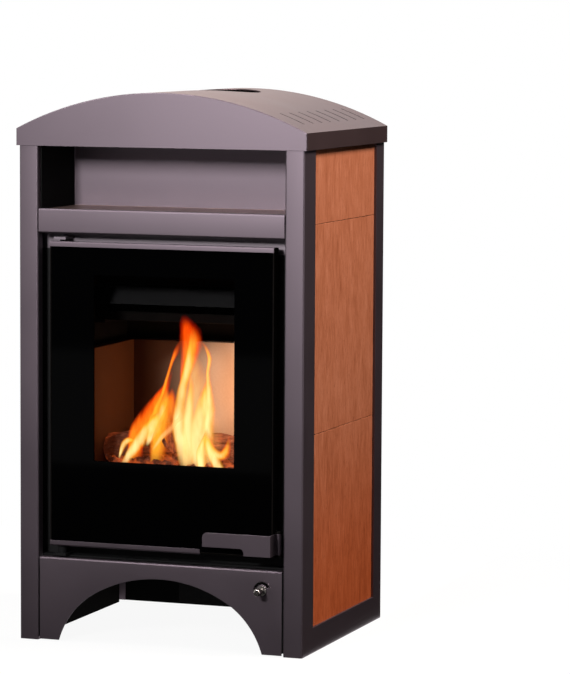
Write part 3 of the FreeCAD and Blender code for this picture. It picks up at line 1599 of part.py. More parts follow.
def build_servo_lead():
    radius = S.lead_bend
    top = S.duct_level - S.servo_height / 2
    bend_top = S.lead_level + radius
    drop = rod("lead_drop", "Z", S.lead_diameter, (LEAD_X, DAMPER_Y, bend_top), top - bend_top)
    bend = document.addObject("Part::Torus", "lead_bend_quarter")
    turn = Rotation(Vector(0, 1, 0), Vector(0, 0, -1), Vector(-1, 0, 0), "XYZ")
    bend.Placement = FreeCAD.Placement(Vector(), turn)
    bend.Angle3 = 90
    bind(bend, "Radius1", radius)
    bind(bend, "Radius2", S.lead_diameter / 2)
    for letter, place in zip("xyz", (LEAD_X, DAMPER_Y - radius, bend_top)):
        bind(bend, "Placement.Base." + letter, place)
    run = rod("lead_run", "Y", S.lead_diameter, (LEAD_X, REAR, S.lead_level), DAMPER_Y - radius - REAR)
    keep("servo_lead", join("servo_lead", drop, bend, run))

    collar = S.grommet_diameter + S.grommet_flange * 2
    flange = rod("grommet_flange", "Y", collar, (LEAD_X, COVER_BACK, S.lead_level), S.grommet_flange)
    sleeve = rod("grommet_sleeve", "Y", S.grommet_diameter, (LEAD_X, REAR, S.lead_level), S.cover_sheet)
    bore_length = S.cover_sheet + S.grommet_flange
    bore = rod("grommet_bore", "Y", S.lead_diameter, (LEAD_X, REAR, S.lead_level), bore_length)
    keep("lead_grommet", cut("lead_grommet", join("grommet_blank", flange, sleeve), bore))


def build_rear_fittings():
    bolts = []
    for name, x in (("bolt_right", S.bolt_right), ("bolt_left", -S.bolt_left)):
        place = (x, COVER_BACK, S.bolt_level)
        washer = rod(name + "_flange", "Y", S.bolt_flange, place, S.bolt_flange_thickness)
        head = document.addObject("Part::Prism", name + "_head")
        head.Polygon = 6
        head.Placement = FreeCAD.Placement(Vector(), TURNS["Y"])
        bind(head, "Circumradius", S.bolt_hex / 2)
        bind(head, "Height", S.bolt_head + S.bolt_flange_thickness)
        for letter, coordinate in zip("xyz", place):
            bind(head, "Placement.Base." + letter, coordinate)
        bolts.append(join(name, washer, head))
    keep("rear_bolts", group("rear_bolts", *bolts))
    for kind, (places, outer, bore) in socket_places().items():
        sockets = []
        for index, (x, z) in enumerate(places):
            name = "%s_socket_%d" % (kind, index)
            sockets.append(tube(name, "Y", outer, bore, (x, JACKET_REAR, z), S.socket_reach))
        keep(kind + "_sockets", group(kind + "_sockets", *sockets))


def build():
    build_side_frames()
    build_tiles()
    build_tile_carriers()
    build_top_cover()
    build_top_deck()
    build_niche()
    build_plinth()
    build_plinth_angles()
    build_base()
    build_rear_cover()
    build_front_plate()
    build_firebox_shell()
    build_water_jacket()
    build_exchanger_tubes()
    build_flue_collar()
    build_linings()
    build_grate()
    build_firebox_fittings()
    build_ash_box()
    build_door_frame()
    build_door_fittings()
    build_hinges()
    build_handle()
    build_latch_keeper()
    build_air_control()
    build_air_box()
    build_air_inlet()
    build_servo()
    build_servo_lead()
    build_rear_fittings()


def check():
    """Stop if an object failed or a piece has no sound shape."""
    document.recompute()
    for thing in document.Objects:
        if "Invalid" in thing.State or "Error" in thing.State:
            raise RuntimeError("failed object: %s %s" % (thing.Label, thing.State))
    for piece in PIECES:
        if piece.Shape.isNull() or not piece.Shape.isValid() or not piece.Shape.Solids:
            raise RuntimeError("no sound shape: " + piece.Label)


def export():
    os.makedirs("parts", exist_ok=True)
    for piece in PIECES:
        piece.Shape.exportStep("parts/%s.step" % piece.Label)


build()
check()
export()
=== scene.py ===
"""Looks of the boiler stove: finishes, soft edges, glass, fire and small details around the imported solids.

Metres, +Z up, the door faces -Y.
"""

import json
import math

import bmesh
import bpy
from mathutils import Matrix, Vector, noise


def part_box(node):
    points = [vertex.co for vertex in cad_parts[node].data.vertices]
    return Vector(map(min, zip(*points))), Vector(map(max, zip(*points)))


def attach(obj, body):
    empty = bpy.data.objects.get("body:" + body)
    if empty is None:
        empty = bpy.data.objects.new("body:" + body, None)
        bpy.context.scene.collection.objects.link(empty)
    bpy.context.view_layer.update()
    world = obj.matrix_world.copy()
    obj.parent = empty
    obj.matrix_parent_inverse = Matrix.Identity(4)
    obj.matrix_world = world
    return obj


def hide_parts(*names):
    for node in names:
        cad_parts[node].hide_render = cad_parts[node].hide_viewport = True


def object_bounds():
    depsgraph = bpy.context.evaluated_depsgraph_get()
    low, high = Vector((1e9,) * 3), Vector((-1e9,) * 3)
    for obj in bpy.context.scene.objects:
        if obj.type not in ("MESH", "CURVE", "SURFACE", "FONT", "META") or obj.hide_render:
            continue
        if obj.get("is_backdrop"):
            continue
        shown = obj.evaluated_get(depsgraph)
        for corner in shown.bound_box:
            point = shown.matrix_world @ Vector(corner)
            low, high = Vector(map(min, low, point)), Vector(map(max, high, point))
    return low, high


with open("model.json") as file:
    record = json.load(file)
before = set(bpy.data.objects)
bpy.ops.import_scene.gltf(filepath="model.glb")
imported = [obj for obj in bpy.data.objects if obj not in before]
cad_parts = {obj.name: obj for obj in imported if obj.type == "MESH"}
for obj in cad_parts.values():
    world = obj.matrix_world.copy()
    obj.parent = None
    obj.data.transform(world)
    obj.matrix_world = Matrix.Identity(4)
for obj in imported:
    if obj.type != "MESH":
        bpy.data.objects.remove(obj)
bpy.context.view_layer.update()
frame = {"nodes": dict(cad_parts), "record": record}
scene = bpy.context.scene
nodes = frame["nodes"]

MM = 0.001
# The posts' front plane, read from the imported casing
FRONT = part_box("side_frame_right")[0].y


def behind(depth_mm):
    """Place along Y of something so many millimetres behind the posts' front plane."""
    return FRONT + depth_mm * MM


def fire_place(x_mm, depth_mm, rise_mm):
    """A place in the firebox: across, behind the posts' front plane and over the hearth."""
    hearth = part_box("hearth_plate")[1].z
    return Vector((x_mm * MM, behind(depth_mm), hearth + rise_mm * MM))


# Node graphs


class Term:
    """A value in a node graph that adds Math nodes when it is used in an expression."""

    def __init__(self, graph, socket):
        self.graph = graph
        self.socket = socket

    def _math(self, operation, first, second):
        made = self.graph.node("ShaderNodeMath", {"operation": operation}, {0: first, 1: second})
        return Term(self.graph, made.outputs[0])

    def __add__(self, other):
        return self._math("ADD", self, other)

    def __radd__(self, other):
        return self._math("ADD", other, self)

    def __sub__(self, other):
        return self._math("SUBTRACT", self, other)

    def __rsub__(self, other):
        return self._math("SUBTRACT", other, self)

    def __mul__(self, other):
        return self._math("MULTIPLY", self, other)

    def __rmul__(self, other):
        return self._math("MULTIPLY", other, self)

    def __pow__(self, other):
        return self._math("POWER", self, other)

    def largest(self, other):
        return self._math("MAXIMUM", self, other)

    def fraction(self):
        return self._math("FRACT", self, 0)

    def step(self, low, high):
        """0 below low, 1 above high and a smooth rise between them."""
        sockets = {"Value": self, "From Min": low, "From Max": high}
        made = self.graph.node("ShaderNodeMapRange", {"interpolation_type": "SMOOTHSTEP"}, sockets)
        return Term(self.graph, made.outputs[0])


class Graph:
    """A node tree that is filled from Python."""

    def __init__(self, tree):
        self.tree = tree

    def feed(self, socket, value):
        if isinstance(value, Term):
            value = value.socket
        if isinstance(value, bpy.types.NodeSocket):
            self.tree.links.new(value, socket)
        else:
            socket.default_value = value

    def node(self, kind, settings=None, sockets=None):
        """One node: its settings first, then the values or links of its sockets."""
        made = self.tree.nodes.new(kind)
        for name, value in (settings or {}).items():
            if name == "stops":
                self.set_stops(made.color_ramp, value)
            else:
                setattr(made, name, value)
        for name, value in (sockets or {}).items():
            self.feed(made.inputs[name], value)
        return made

    def set_stops(self, ramp, stops):
        while len(ramp.elements) < len(stops):
            ramp.elements.new(0.5)
        for element, (place, colour) in zip(ramp.elements, stops):
            element.position = place
            element.color = (*colour, 1)

    def term(self, kind, settings=None, sockets=None, output=0):
        return Term(self, self.node(kind, settings, sockets).outputs[output])


class Finish(Graph):
    """A material that is drawn on the piece's own coordinates."""

    def __init__(self, name):
        self.material = bpy.data.materials.new(name)
        self.material.use_nodes = True
        super().__init__(self.material.node_tree)
        self.tree.nodes.clear()
        self.end = self.node("ShaderNodeOutputMaterial")
        self.place = self.term("ShaderNodeTexCoord", output="Object")

    def axes(self):
        """The place's X, Y and Z as three terms."""
        split = self.node("ShaderNodeSeparateXYZ", None, {0: self.place})
        return [Term(self, socket) for socket in split.outputs]

    def stretched(self, scale, shift=(0, 0, 0)):
        sockets = {"Vector": self.place, "Scale": scale, "Location": shift}
        return self.term("ShaderNodeMapping", None, sockets)

    def noise(self, scale, detail=2.0, rough=0.5, vector=None):
        sockets = {"Vector": vector or self.place, "Scale": scale, "Detail": detail, "Roughness": rough}
        return self.term("ShaderNodeTexNoise", None, sockets)

    def cells(self, scale):
        return self.term("ShaderNodeTexVoronoi", None, {"Vector": self.place, "Scale": scale})

    def ramp(self, value, stops):
        return self.term("ShaderNodeValToRGB", {"stops": stops}, {0: value})

    def blend(self, factor, first, second):
        """A colour between two colours."""
        # The Mix node's colours are its inputs 6 and 7 and its output 2
        sockets = {0: factor, 6: pad_colour(first), 7: pad_colour(second)}
        return self.term("ShaderNodeMix", {"data_type": "RGBA"}, sockets, output=2)

    def relief(self, height, depth_mm, strength=1.0):
        """A normal from a height, in millimetres."""
        sockets = {"Height": height, "Distance": depth_mm * MM, "Strength": strength}
        return self.term("ShaderNodeBump", None, sockets)

    def surface(self, **sockets):
        """A Principled shader as the material's surface."""
        named = {name.replace("_", " "): pad_colour(value) for name, value in sockets.items()}
        shader = self.node("ShaderNodeBsdfPrincipled", None, named)
        self.tree.links.new(shader.outputs[0], self.end.inputs["Surface"])


def pad_colour(value):
    """A colour of three numbers with its alpha added."""
    if isinstance(value, tuple) and len(value) == 3:
        return (*value, 1.0)
    return value


# Finishes

# Two tones of the casing paint, and two lighter tones of it in the gap over the door, as painted light
CASING_DARK = (0.104, 0.081, 0.095)
CASING_LIGHT = (0.136, 0.107, 0.126)
LIT_STRIP_DARK = (0.16, 0.132, 0.15)
LIT_STRIP_LIGHT = (0.22, 0.185, 0.21)
# Thickness of the casing's sheet
SHEET = 2 * MM
# How fine the marks of the finishes are, as the scale of their noise
FLAKES = 1600
CLOUDS = 7
ORANGE_PEEL = 420
PAINT_GRAIN = 900
SPANGLE = 110
# Turning marks are close together along Y and long around it
TURNING_MARKS = (40, 2600, 40)


def paint_marks(finish):
    """The casing paint's speckle, the clouds in it and the normal of its orange peel."""
    flakes = finish.noise(FLAKES, detail=1)
    clouds = finish.noise(CLOUDS, detail=3)
    orange_peel = finish.noise(ORANGE_PEEL, detail=2)
    return flakes * 0.6 + clouds * 0.4, clouds, finish.relief(orange_peel, 0.02)


def casing_paint():
    """Satin metal paint with a fine flake."""
    finish = Finish("casing_paint")
    speckle, clouds, peel = paint_marks(finish)
    finish.surface(
        Base_Color=finish.blend(speckle, CASING_DARK, CASING_LIGHT),
        Metallic=0.92,
        Roughness=0.41 + clouds * 0.1,
        Normal=peel,
        Specular_IOR_Level=0.4,
    )
    return finish.material


def heat_proof_black():
    finish = Finish("heat_proof_black")
    grain = finish.noise(PAINT_GRAIN, detail=2)
    dust = finish.noise(14, detail=4)
    tone = finish.blend(dust, (0.006, 0.006, 0.0065), (0.016, 0.0155, 0.016))
    finish.surface(
        Base_Color=tone,
        Roughness=0.6 + dust * 0.25,
        Normal=finish.relief(grain, 0.03),
        Specular_IOR_Level=0.06,
    )
    return finish.material


def wood_grain(name, shift):
    """Reddish brown tile face with short upright flecks in soft clouds, and a deeper, darker red towards the
    floor as painted shade.
    """
    finish = Finish(name)
    clouds = finish.noise(1, detail=3, vector=finish.stretched((20, 30, 9), shift))
    streaks = finish.noise(1, detail=4, rough=0.65, vector=finish.stretched((120, 240, 26), shift))
    flecks = finish.noise(1, detail=3, rough=0.6, vector=finish.stretched((260, 520, 95), shift))
    pore_lines = flecks.step(0.56, 0.7)
    pore_tone = (0.12, 0.026, 0.008)
    _, _, height = finish.axes()
    # Painted shade: the tile turns a deeper, darker red from the waist down to the floor
    full_shade_up_to = 0.04
    unshaded_from = 0.5
    grain = clouds * 0.3 + streaks * 0.7
    brown = finish.ramp(
        grain, [(0.28, (0.2, 0.056, 0.02)), (0.5, (0.335, 0.114, 0.054)), (0.72, (0.44, 0.176, 0.099))])
    red = finish.ramp(
        grain, [(0.28, (0.2, 0.034, 0.006)), (0.5, (0.35, 0.074, 0.02)), (0.72, (0.45, 0.115, 0.04))])
    ground = finish.blend(height.step(full_shade_up_to, unshaded_from), red, brown)
    finish.surface(
        Base_Color=finish.blend(pore_lines * 0.5, ground, pore_tone),
        Roughness=0.5 - streaks * 0.12 + pore_lines * 0.15,
        Normal=finish.relief(streaks * 0.5 - pore_lines * 0.5, 0.12, 0.6),
        Specular_IOR_Level=0.3,
    )
    return finish.material


def fireclay():
    """Pale clay plates browned from the left, most of all on the back plate, as painted shade where less of
    the fire's light falls, with soot stains over it; the top edge is darker too.
    """
    finish = Finish("fireclay")
    across, deep, height = finish.axes()
    back_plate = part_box("lining_back")[0].y
    rear = deep.step(back_plate - 1.5 * MM, back_plate - 0.5 * MM)
    grit = finish.noise(260, detail=4, rough=0.7)
    stains = finish.noise(9, detail=4)
    clean = finish.blend(grit, (0.46, 0.3, 0.2), (0.6, 0.43, 0.3))
    brown = finish.blend(grit, (0.055, 0.017, 0.004), (0.1, 0.034, 0.009))
    deep_brown = finish.blend(grit, (0.024, 0.006, 0.001), (0.05, 0.014, 0.003))
    # The back plate takes the deeper brown of the painted shade
    sooty_shaded_brown = finish.blend(rear, brown, deep_brown)
    shaded_up_to = -0.15
    lit_from = 0.075
    # Painted shade: the clay darkens towards the left, away from the fire's light, with soot stains from the
    # noise
    left = 1 - (across + (stains - 0.5) * 0.05).step(shaded_up_to, lit_from)
    upper_edge = height.step(0.5, 0.56) * 0.25
    soot_and_shade = (left + stains * 0.3 + upper_edge - 0.15).step(0.0, 1.0)
    finish.surface(
        Base_Color=finish.blend(soot_and_shade, clean, sooty_shaded_brown),
        Roughness=0.85 + grit * 0.1,
        Normal=finish.relief(grit, 0.25),
        Specular_IOR_Level=0.15,
    )
    return finish.material


def cast_iron():
    finish = Finish("cast_iron")
    pits = finish.noise(520, detail=4, rough=0.65)
    rust = finish.noise(22, detail=3).step(0.55, 0.75)
    tone = finish.blend(rust * 0.5, (0.03, 0.029, 0.028), (0.085, 0.045, 0.028))
    finish.surface(
        Base_Color=tone,
        Metallic=0.5,
        Roughness=0.6 + pits * 0.2,
        Normal=finish.relief(pits, 0.2),
    )
    return finish.material


def dull_sheet():
    """Zinc-coated sheet under the stove, darkened almost to black as painted shade under the arch, with dust.
    """
    finish = Finish("dull_sheet")
    spangle = finish.cells(SPANGLE)
    dust = finish.noise(16, detail=4)
    tone = finish.blend(spangle * 0.4 + dust * 0.6, (0.008, 0.008, 0.008), (0.022, 0.021, 0.021))
    finish.surface(
        Base_Color=tone,
        Metallic=0.3,
        Roughness=0.65 + dust * 0.2,
        Normal=finish.relief(dust, 0.05),
        Specular_IOR_Level=0.1,
    )
    return finish.material


def galvanised():
    finish = Finish("galvanised_sheet")
    spangle = finish.cells(SPANGLE)
    tone = finish.blend(spangle, (0.33, 0.34, 0.35), (0.5, 0.51, 0.52))
    finish.surface(Base_Color=tone, Metallic=0.9, Roughness=0.35 + spangle * 0.2)
    return finish.material


def turned_steel(name, tone, rough):
    """Machined metal with fine turning marks."""
    finish = Finish(name)
    marks = finish.noise(1, detail=2, vector=finish.stretched(TURNING_MARKS))
    smudge = finish.noise(60, detail=2)
    darker = tuple(part * 0.7 for part in tone)
    finish.surface(
        Base_Color=finish.blend(marks, darker, tone),
        Metallic=1.0,
        Roughness=rough + smudge * 0.15,
        Normal=finish.relief(marks, 0.015),
    )
    return finish.material


def moulded_plastic():
    finish = Finish("moulded_plastic")
    texture = finish.noise(1500, detail=2)
    finish.surface(
        Base_Color=finish.blend(texture, (0.012, 0.012, 0.014), (0.024, 0.024, 0.027)),
        Roughness=0.5 + texture * 0.12,
        Normal=finish.relief(texture, 0.03),
    )
    return finish.material


def lead_rubber():
    finish = Finish("lead_rubber")
    bloom = finish.noise(90, detail=3)
    finish.surface(
        Base_Color=finish.blend(bloom, (0.01, 0.01, 0.01), (0.03, 0.029, 0.028)),
        Roughness=0.6 + bloom * 0.2,
        Normal=finish.relief(finish.noise(1200), 0.02),
    )
    return finish.material


def glass_fibre():
    finish = Finish("glass_fibre_cord")
    fibres = finish.noise(1, detail=3, vector=finish.stretched((1700, 1700, 900)))
    finish.surface(
        Base_Color=finish.blend(fibres, (0.05, 0.048, 0.046), (0.17, 0.165, 0.16)),
        Roughness=0.9,
        Normal=finish.relief(fibres, 0.2),
        Specular_IOR_Level=0.1,
    )
    return finish.material


def door_pane():
    """Ceramic glass with a black enamel border around a clear window."""
    finish = Finish("door_pane")
    across, _, height = finish.axes()
    left = -135.5 * MM
    right = 146.5 * MM
    low = 347.5 * MM
    high = 699 * MM
    soft = 0.4 * MM
    beside = across.step(left - soft, left + soft) * (1 - across.step(right - soft, right + soft))
    inside = beside * height.step(low - soft, low + soft) * (1 - height.step(high - soft, high + soft))
    clearness = 0.92
    haze = finish.noise(18, detail=3)
    finish.surface(
        Base_Color=(0.0006, 0.0006, 0.0007),
        Roughness=0.03 + haze * 0.03,
        Alpha=1 - inside * clearness,
        Specular_IOR_Level=0.02,
    )
    return finish.material


def flame_sheet(name, thickness, hot, mid, tip):
    """Glowing gas: bright along the middle, thin at its edges and ends."""
    finish = Finish(name)
    layout = finish.node("ShaderNodeUVMap")
    split = finish.node("ShaderNodeSeparateXYZ", None, {0: layout.outputs[0]})
    across = Term(finish, split.outputs[0])
    along = Term(finish, split.outputs[1])
    wisps = finish.noise(1, detail=3, vector=finish.stretched((75, 40, 17)))
    centre = 1 - ((across - 0.5) * (across - 0.5)) * 4
    cooling = along ** 2.2
    heat = centre * 0.7 + (wisps - 0.5) * 0.8 - cooling * 0.8 + 0.16
    glow = finish.ramp(heat, [(0.05, tip), (0.42, mid), (0.85, hot)])
    body = (centre * 1.05 + (wisps - 0.5) * 0.7).step(0.0, 1.25)
    root_length = 0.16
    tip_length = 0.3
    ends = along.step(0.0, root_length) * (1 - along).step(0.0, tip_length)
    finish.surface(
        Base_Color=(0.0, 0.0, 0.0),
        Roughness=1.0,
        Specular_IOR_Level=0.0,
        Emission_Color=glow,
        Emission_Strength=1.8,
        Alpha=body * ends * thickness,
    )
    return finish.material


def burning_wood():
    """Charred bark that glows dark red in places."""
    finish = Finish("burning_wood")
    bark = finish.noise(1, detail=5, rough=0.7, vector=finish.stretched((60, 170, 170)))
    heat = finish.noise(24, detail=4, rough=0.6)
    glow = heat.step(0.46, 0.72) * bark.step(0.3, 0.65)
    finish.surface(
        Base_Color=finish.ramp(bark, [(0.3, (0.03, 0.01, 0.006)), (0.7, (0.2, 0.075, 0.042))]),
        Roughness=0.9,
        Normal=finish.relief(bark, 3.0),
        Emission_Color=finish.blend(glow, (0.035, 0.006, 0.002), (0.36, 0.055, 0.012)),
        Emission_Strength=1.0,
        Specular_IOR_Level=0.1,
    )
    return finish.material


def sooty_clay():
    """Matt black: soot in the firebox, and painted shade as near-black on the door frame and the foot plates.
    """
    finish = Finish("sooty_clay")
    soot_and_shade = finish.noise(30, detail=4)
    finish.surface(
        Base_Color=finish.blend(soot_and_shade, (0.002, 0.0016, 0.0014), (0.007, 0.0055, 0.005)),
        Roughness=0.95,
        Normal=finish.relief(soot_and_shade, 0.5),
        Specular_IOR_Level=0.05,
    )
    return finish.material


def painted_above(name, painted_from, dark, light, shine):
    """Heat-proof black, with a lighter copy of the casing paint from a height upwards, where the piece shows
    over the door: the lighter tone is painted light.
    """
    finish = Finish(name)
    _, _, height = finish.axes()
    painted = height.step(painted_from, painted_from + 1 * MM)
    grain = finish.noise(PAINT_GRAIN, detail=2)
    black = finish.blend(grain, dark, light)
    # The strip tones are lighter than the casing paint: painted light in the gap over the door
    paint = finish.blend(grain, LIT_STRIP_DARK, LIT_STRIP_LIGHT)
    finish.surface(
        Base_Color=finish.blend(painted, black, paint),
        Metallic=painted * 0.5,
        Roughness=0.6 - painted * 0.08,
        Normal=finish.relief(grain, 0.03),
        Specular_IOR_Level=shine,
    )
    return finish.material


def niche_coat():
    """Casing paint on the back of the shelf niche, a lighter, warmer brown floor as painted light, and
    near-black side walls.
    """
    finish = Finish("niche_coat")
    across, _, height = finish.axes()
    low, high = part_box("niche_liner")
    edge = 0.2 * MM
    wall = high.x - SHEET
    side = across.largest(across * -1).step(wall - edge * 2, wall - edge)
    floor = 1 - height.step(low.z + SHEET + edge, low.z + SHEET + edge * 2)
    flakes = finish.noise(FLAKES, detail=1)
    paint = finish.blend(flakes, (0.118, 0.092, 0.108), (0.15, 0.119, 0.14))
    # The floor's lighter warm brown is painted light
    brown = finish.blend(flakes, (0.28, 0.185, 0.165), (0.34, 0.225, 0.2))
    black = finish.blend(flakes, (0.002, 0.002, 0.002), (0.004, 0.004, 0.004))
    finish.surface(
        Base_Color=finish.blend(side, finish.blend(floor, paint, brown), black),
        Metallic=0.9 - side * 0.9,
        Roughness=0.46 + side * 0.3,
        Normal=finish.relief(flakes, 0.02),
        Specular_IOR_Level=0.1,
    )
    return finish.material


def rear_cover_coat():
    """Casing paint on the outer face of the rear cover, and near-black inside as painted shade."""
    finish = Finish("rear_cover_coat")
    _, deep, _ = finish.axes()
    _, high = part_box("rear_cover")
    edge = 0.3 * MM
    outer = deep.step(high.y - edge * 2, high.y - edge)
    flakes = finish.noise(FLAKES, detail=1)
    paint = finish.blend(flakes, CASING_DARK, CASING_LIGHT)
    # Near-black inside the cover: painted shade
    black = finish.blend(flakes, (0.0015, 0.0015, 0.0015), (0.003, 0.003, 0.003))
    finish.surface(
        Base_Color=finish.blend(outer, black, paint),
        Metallic=outer * 0.92,
        Roughness=0.8 - outer * 0.34,
        Normal=finish.relief(flakes, 0.02),
        Specular_IOR_Level=0.05,
    )
    return finish.material


def cap_coat():
    """Casing paint, with the slots' walls and a rim round them darkened as painted shade, and a browner top
    between the cap's front and rear faces as a painted warm reflection.
    """
    finish = Finish("cap_coat")
    across, deep, _ = finish.axes()
    low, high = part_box("top_cover")
    front_face = deep.step(low.y + SHEET, low.y + SHEET * 1.5)
    rear_face = deep.step(high.y - SHEET * 1.5, high.y - SHEET)
    first = behind(66)
    spacing = 50 * MM
    slots = 8
    last = first + (slots - 1) * spacing
    slot_inner = 213 * MM
    slot_outer = 260 * MM
    half_width = 2 * MM
    # Painted shade: the slots and a rim round each of them are darkened
    rim = 0.9 * MM
    soft = 0.2 * MM
    side = across.largest(across * -1)
    lengthwise = side.step(slot_inner - rim, slot_inner) * (1 - side.step(slot_outer, slot_outer + rim))
    phase = ((deep - first) * (1 / spacing) + 0.5).fraction() - 0.5
    off_centre = phase.largest(phase * -1) * spacing
    crosswise = 1 - off_centre.step(half_width + rim - soft, half_width + rim + soft)
    row_start = deep.step(first - spacing * 0.4, first - spacing * 0.3)
    row_end = deep.step(last + spacing * 0.3, last + spacing * 0.4)
    slot = lengthwise * crosswise * row_start * (1 - row_end)
    slot_shade_tone = (0.006, 0.004, 0.004)
    speckle, clouds, peel = paint_marks(finish)
    plain = finish.blend(speckle, CASING_DARK, CASING_LIGHT)
    # The browner top is a painted warm reflection
    brown = finish.blend(speckle, (0.108, 0.072, 0.074), (0.142, 0.095, 0.098))
    paint = finish.blend(front_face * (1 - rear_face), plain, brown)
    finish.surface(
        Base_Color=finish.blend(slot, paint, slot_shade_tone),
        Metallic=0.92 - slot * 0.9,
        Roughness=0.41 + clouds * 0.1 + slot * 0.4,
        Normal=peel,
        Specular_IOR_Level=0.4,
    )
    return finish.material


def knob_steel():
    """A turned knob, bright at its end and dark where it is screwed to the spindle."""
    finish = Finish("knob_steel")
    _, deep, _ = finish.axes()
    low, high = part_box("control_knob")
    length = high.y - low.y
    root = deep.step(low.y + length * 0.35, low.y + length * 0.6)
    marks = finish.noise(1, detail=2, vector=finish.stretched(TURNING_MARKS))
    bright = finish.blend(marks, (0.5, 0.45, 0.42), (0.72, 0.67, 0.63))
    dark = finish.blend(marks, (0.04, 0.03, 0.028), (0.09, 0.07, 0.065))
    finish.surface(
        Base_Color=finish.blend(root, bright, dark),
        Metallic=1.0,
        Roughness=0.2 + root * 0.15,
        Normal=finish.relief(marks, 0.015),
    )
    return finish.material


def embers():
    finish = Finish("embers")
    ash = finish.noise(75, detail=4)
    heat = finish.noise(42, detail=3).step(0.42, 0.68)
    finish.surface(
        Base_Color=finish.blend(ash, (0.02, 0.008, 0.005), (0.13, 0.05, 0.032)),
        Roughness=0.95,
        Normal=finish.relief(ash, 1.2),
        Emission_Color=finish.blend(heat, (0.03, 0.005, 0.002), (0.6, 0.09, 0.014)),
        Emission_Strength=0.9,
        Specular_IOR_Level=0.05,
    )
    return finish.material


PAINT = casing_paint()
BLACK = heat_proof_black()
CLAY = fireclay()
IRON = cast_iron()
ZINC = galvanised()
STEEL = turned_steel("turned_steel", (0.62, 0.57, 0.54), 0.24)
SOCKET = turned_steel("socket_steel", (0.3, 0.29, 0.28), 0.4)
PLASTIC = moulded_plastic()
RUBBER = lead_rubber()
FIBRE = glass_fibre()
PANE = door_pane()
LOG = burning_wood()
EMBER = embers()
BRIGHT_FLAME = flame_sheet("flame_bright", 0.82, (1.0, 0.72, 0.28), (1.0, 0.4, 0.028), (1.0, 0.1, 0.003))
ORANGE_FLAME = flame_sheet("flame_orange", 0.74, (1.0, 0.4, 0.025), (1.0, 0.16, 0.005), (0.7, 0.03, 0.0))
RED_FLAME = flame_sheet("flame_red", 0.9, (1.0, 0.22, 0.01), (0.95, 0.075, 0.002), (0.5, 0.012, 0.0))
FLAME_VEIL = flame_sheet("flame_veil", 0.44, (1.0, 0.62, 0.22), (1.0, 0.42, 0.1), (0.9, 0.24, 0.05))
SOOT_AND_SHADE = sooty_clay()
# Heights from which the hinges and the front plate are painted
HINGE_PAINT = 0.55
PLATE_PAINT = 0.744
HINGE_COAT = painted_above("hinge_coat", HINGE_PAINT, (0.006, 0.006, 0.0065), (0.012, 0.0115, 0.012), 0.1)
PLATE_COAT = painted_above("front_plate_coat", PLATE_PAINT, (0.004, 0.004, 0.0045), (0.01, 0.0095, 0.01), 0.2)

# Pieces whose finish isn't that of their material slot
OWN_FINISH = {
    "flue_baffle": SOOT_AND_SHADE,
    "firebox_shell": SOOT_AND_SHADE,
    # The foot plates and the door frame take this near-black as painted shade
    "foot_plates": SOOT_AND_SHADE,
    "door_frame": SOOT_AND_SHADE,
    "top_cover": cap_coat(),
    "hinge_brackets": HINGE_COAT,
    "front_plate": PLATE_COAT,
    "niche_liner": niche_coat(),
    "rear_cover": rear_cover_coat(),
    "control_knob": knob_steel(),
    # The air box under the arch is darkened as painted shade
    "air_box": dull_sheet(),
    "hinge_pins": BLACK,
}

# Soft edges on the CAD pieces


def add_piece(name, mesh, material, body):
    """A finished mesh as a piece that rides on a body."""
    mesh.materials.clear()
    mesh.materials.append(material)
    piece = bpy.data.objects.new(name, mesh)
    scene.collection.objects.link(piece)
    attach(piece, body)
    return piece


def smooth_faces(mesh, sharp_degrees):
    mesh.polygons.foreach_set("use_smooth", [True] * len(mesh.polygons))
    mesh.set_sharp_from_angle(angle=math.radians(sharp_degrees))


def soften(node, material, edge_mm):
    """A welded copy of a CAD piece with rounded edges stands for the piece."""
    same_place = 1e-6
    flat_degrees = 0.4
    sharp_degrees = 32
    rounded_degrees = 40
    mesh = nodes[node].data.copy()
    mesh.name = node + "_skin"
    if "custom_normal" in mesh.attributes:
        mesh.attributes.remove(mesh.attributes["custom_normal"])
    shell = bmesh.new()
    shell.from_mesh(mesh)
    bmesh.ops.remove_doubles(shell, verts=shell.verts, dist=same_place)
    flat = math.radians(flat_degrees)
    bmesh.ops.dissolve_limit(shell, angle_limit=flat, verts=shell.verts, edges=shell.edges)
    shell.to_mesh(mesh)
    shell.free()
    smooth_faces(mesh, sharp_degrees)
    piece = add_piece(node + "_skin", mesh, material, BODY_OF[node])
    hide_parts(node)
    rounding = piece.modifiers.new("edges", "BEVEL")
    rounding.width = edge_mm * MM
    rounding.segments = 2
    rounding.limit_method = "ANGLE"
    rounding.angle_limit = math.radians(rounded_degrees)
    rounding.harden_normals = True


record = frame["record"]
BODY_OF = {node: body for body, members in record["behaviour"]["bodies"].items() for node in members}
SLOT_OF = {entry["node"]: entry["material_slot"] for entry in record["subparts"]}

FINISH_OF_SLOT = {
    "casing_paint": PAINT,
    "galvanised_steel": ZINC,
    "black_steel": BLACK,
    "fireclay": CLAY,
    "cast_iron": IRON,
    "bright_steel": STEEL,
    "servo_plastic": PLASTIC,
    "lead_rubber": RUBBER,
    "socket_steel": SOCKET,
    "clear_glass": PANE,
    "gasket_cord": FIBRE,
}

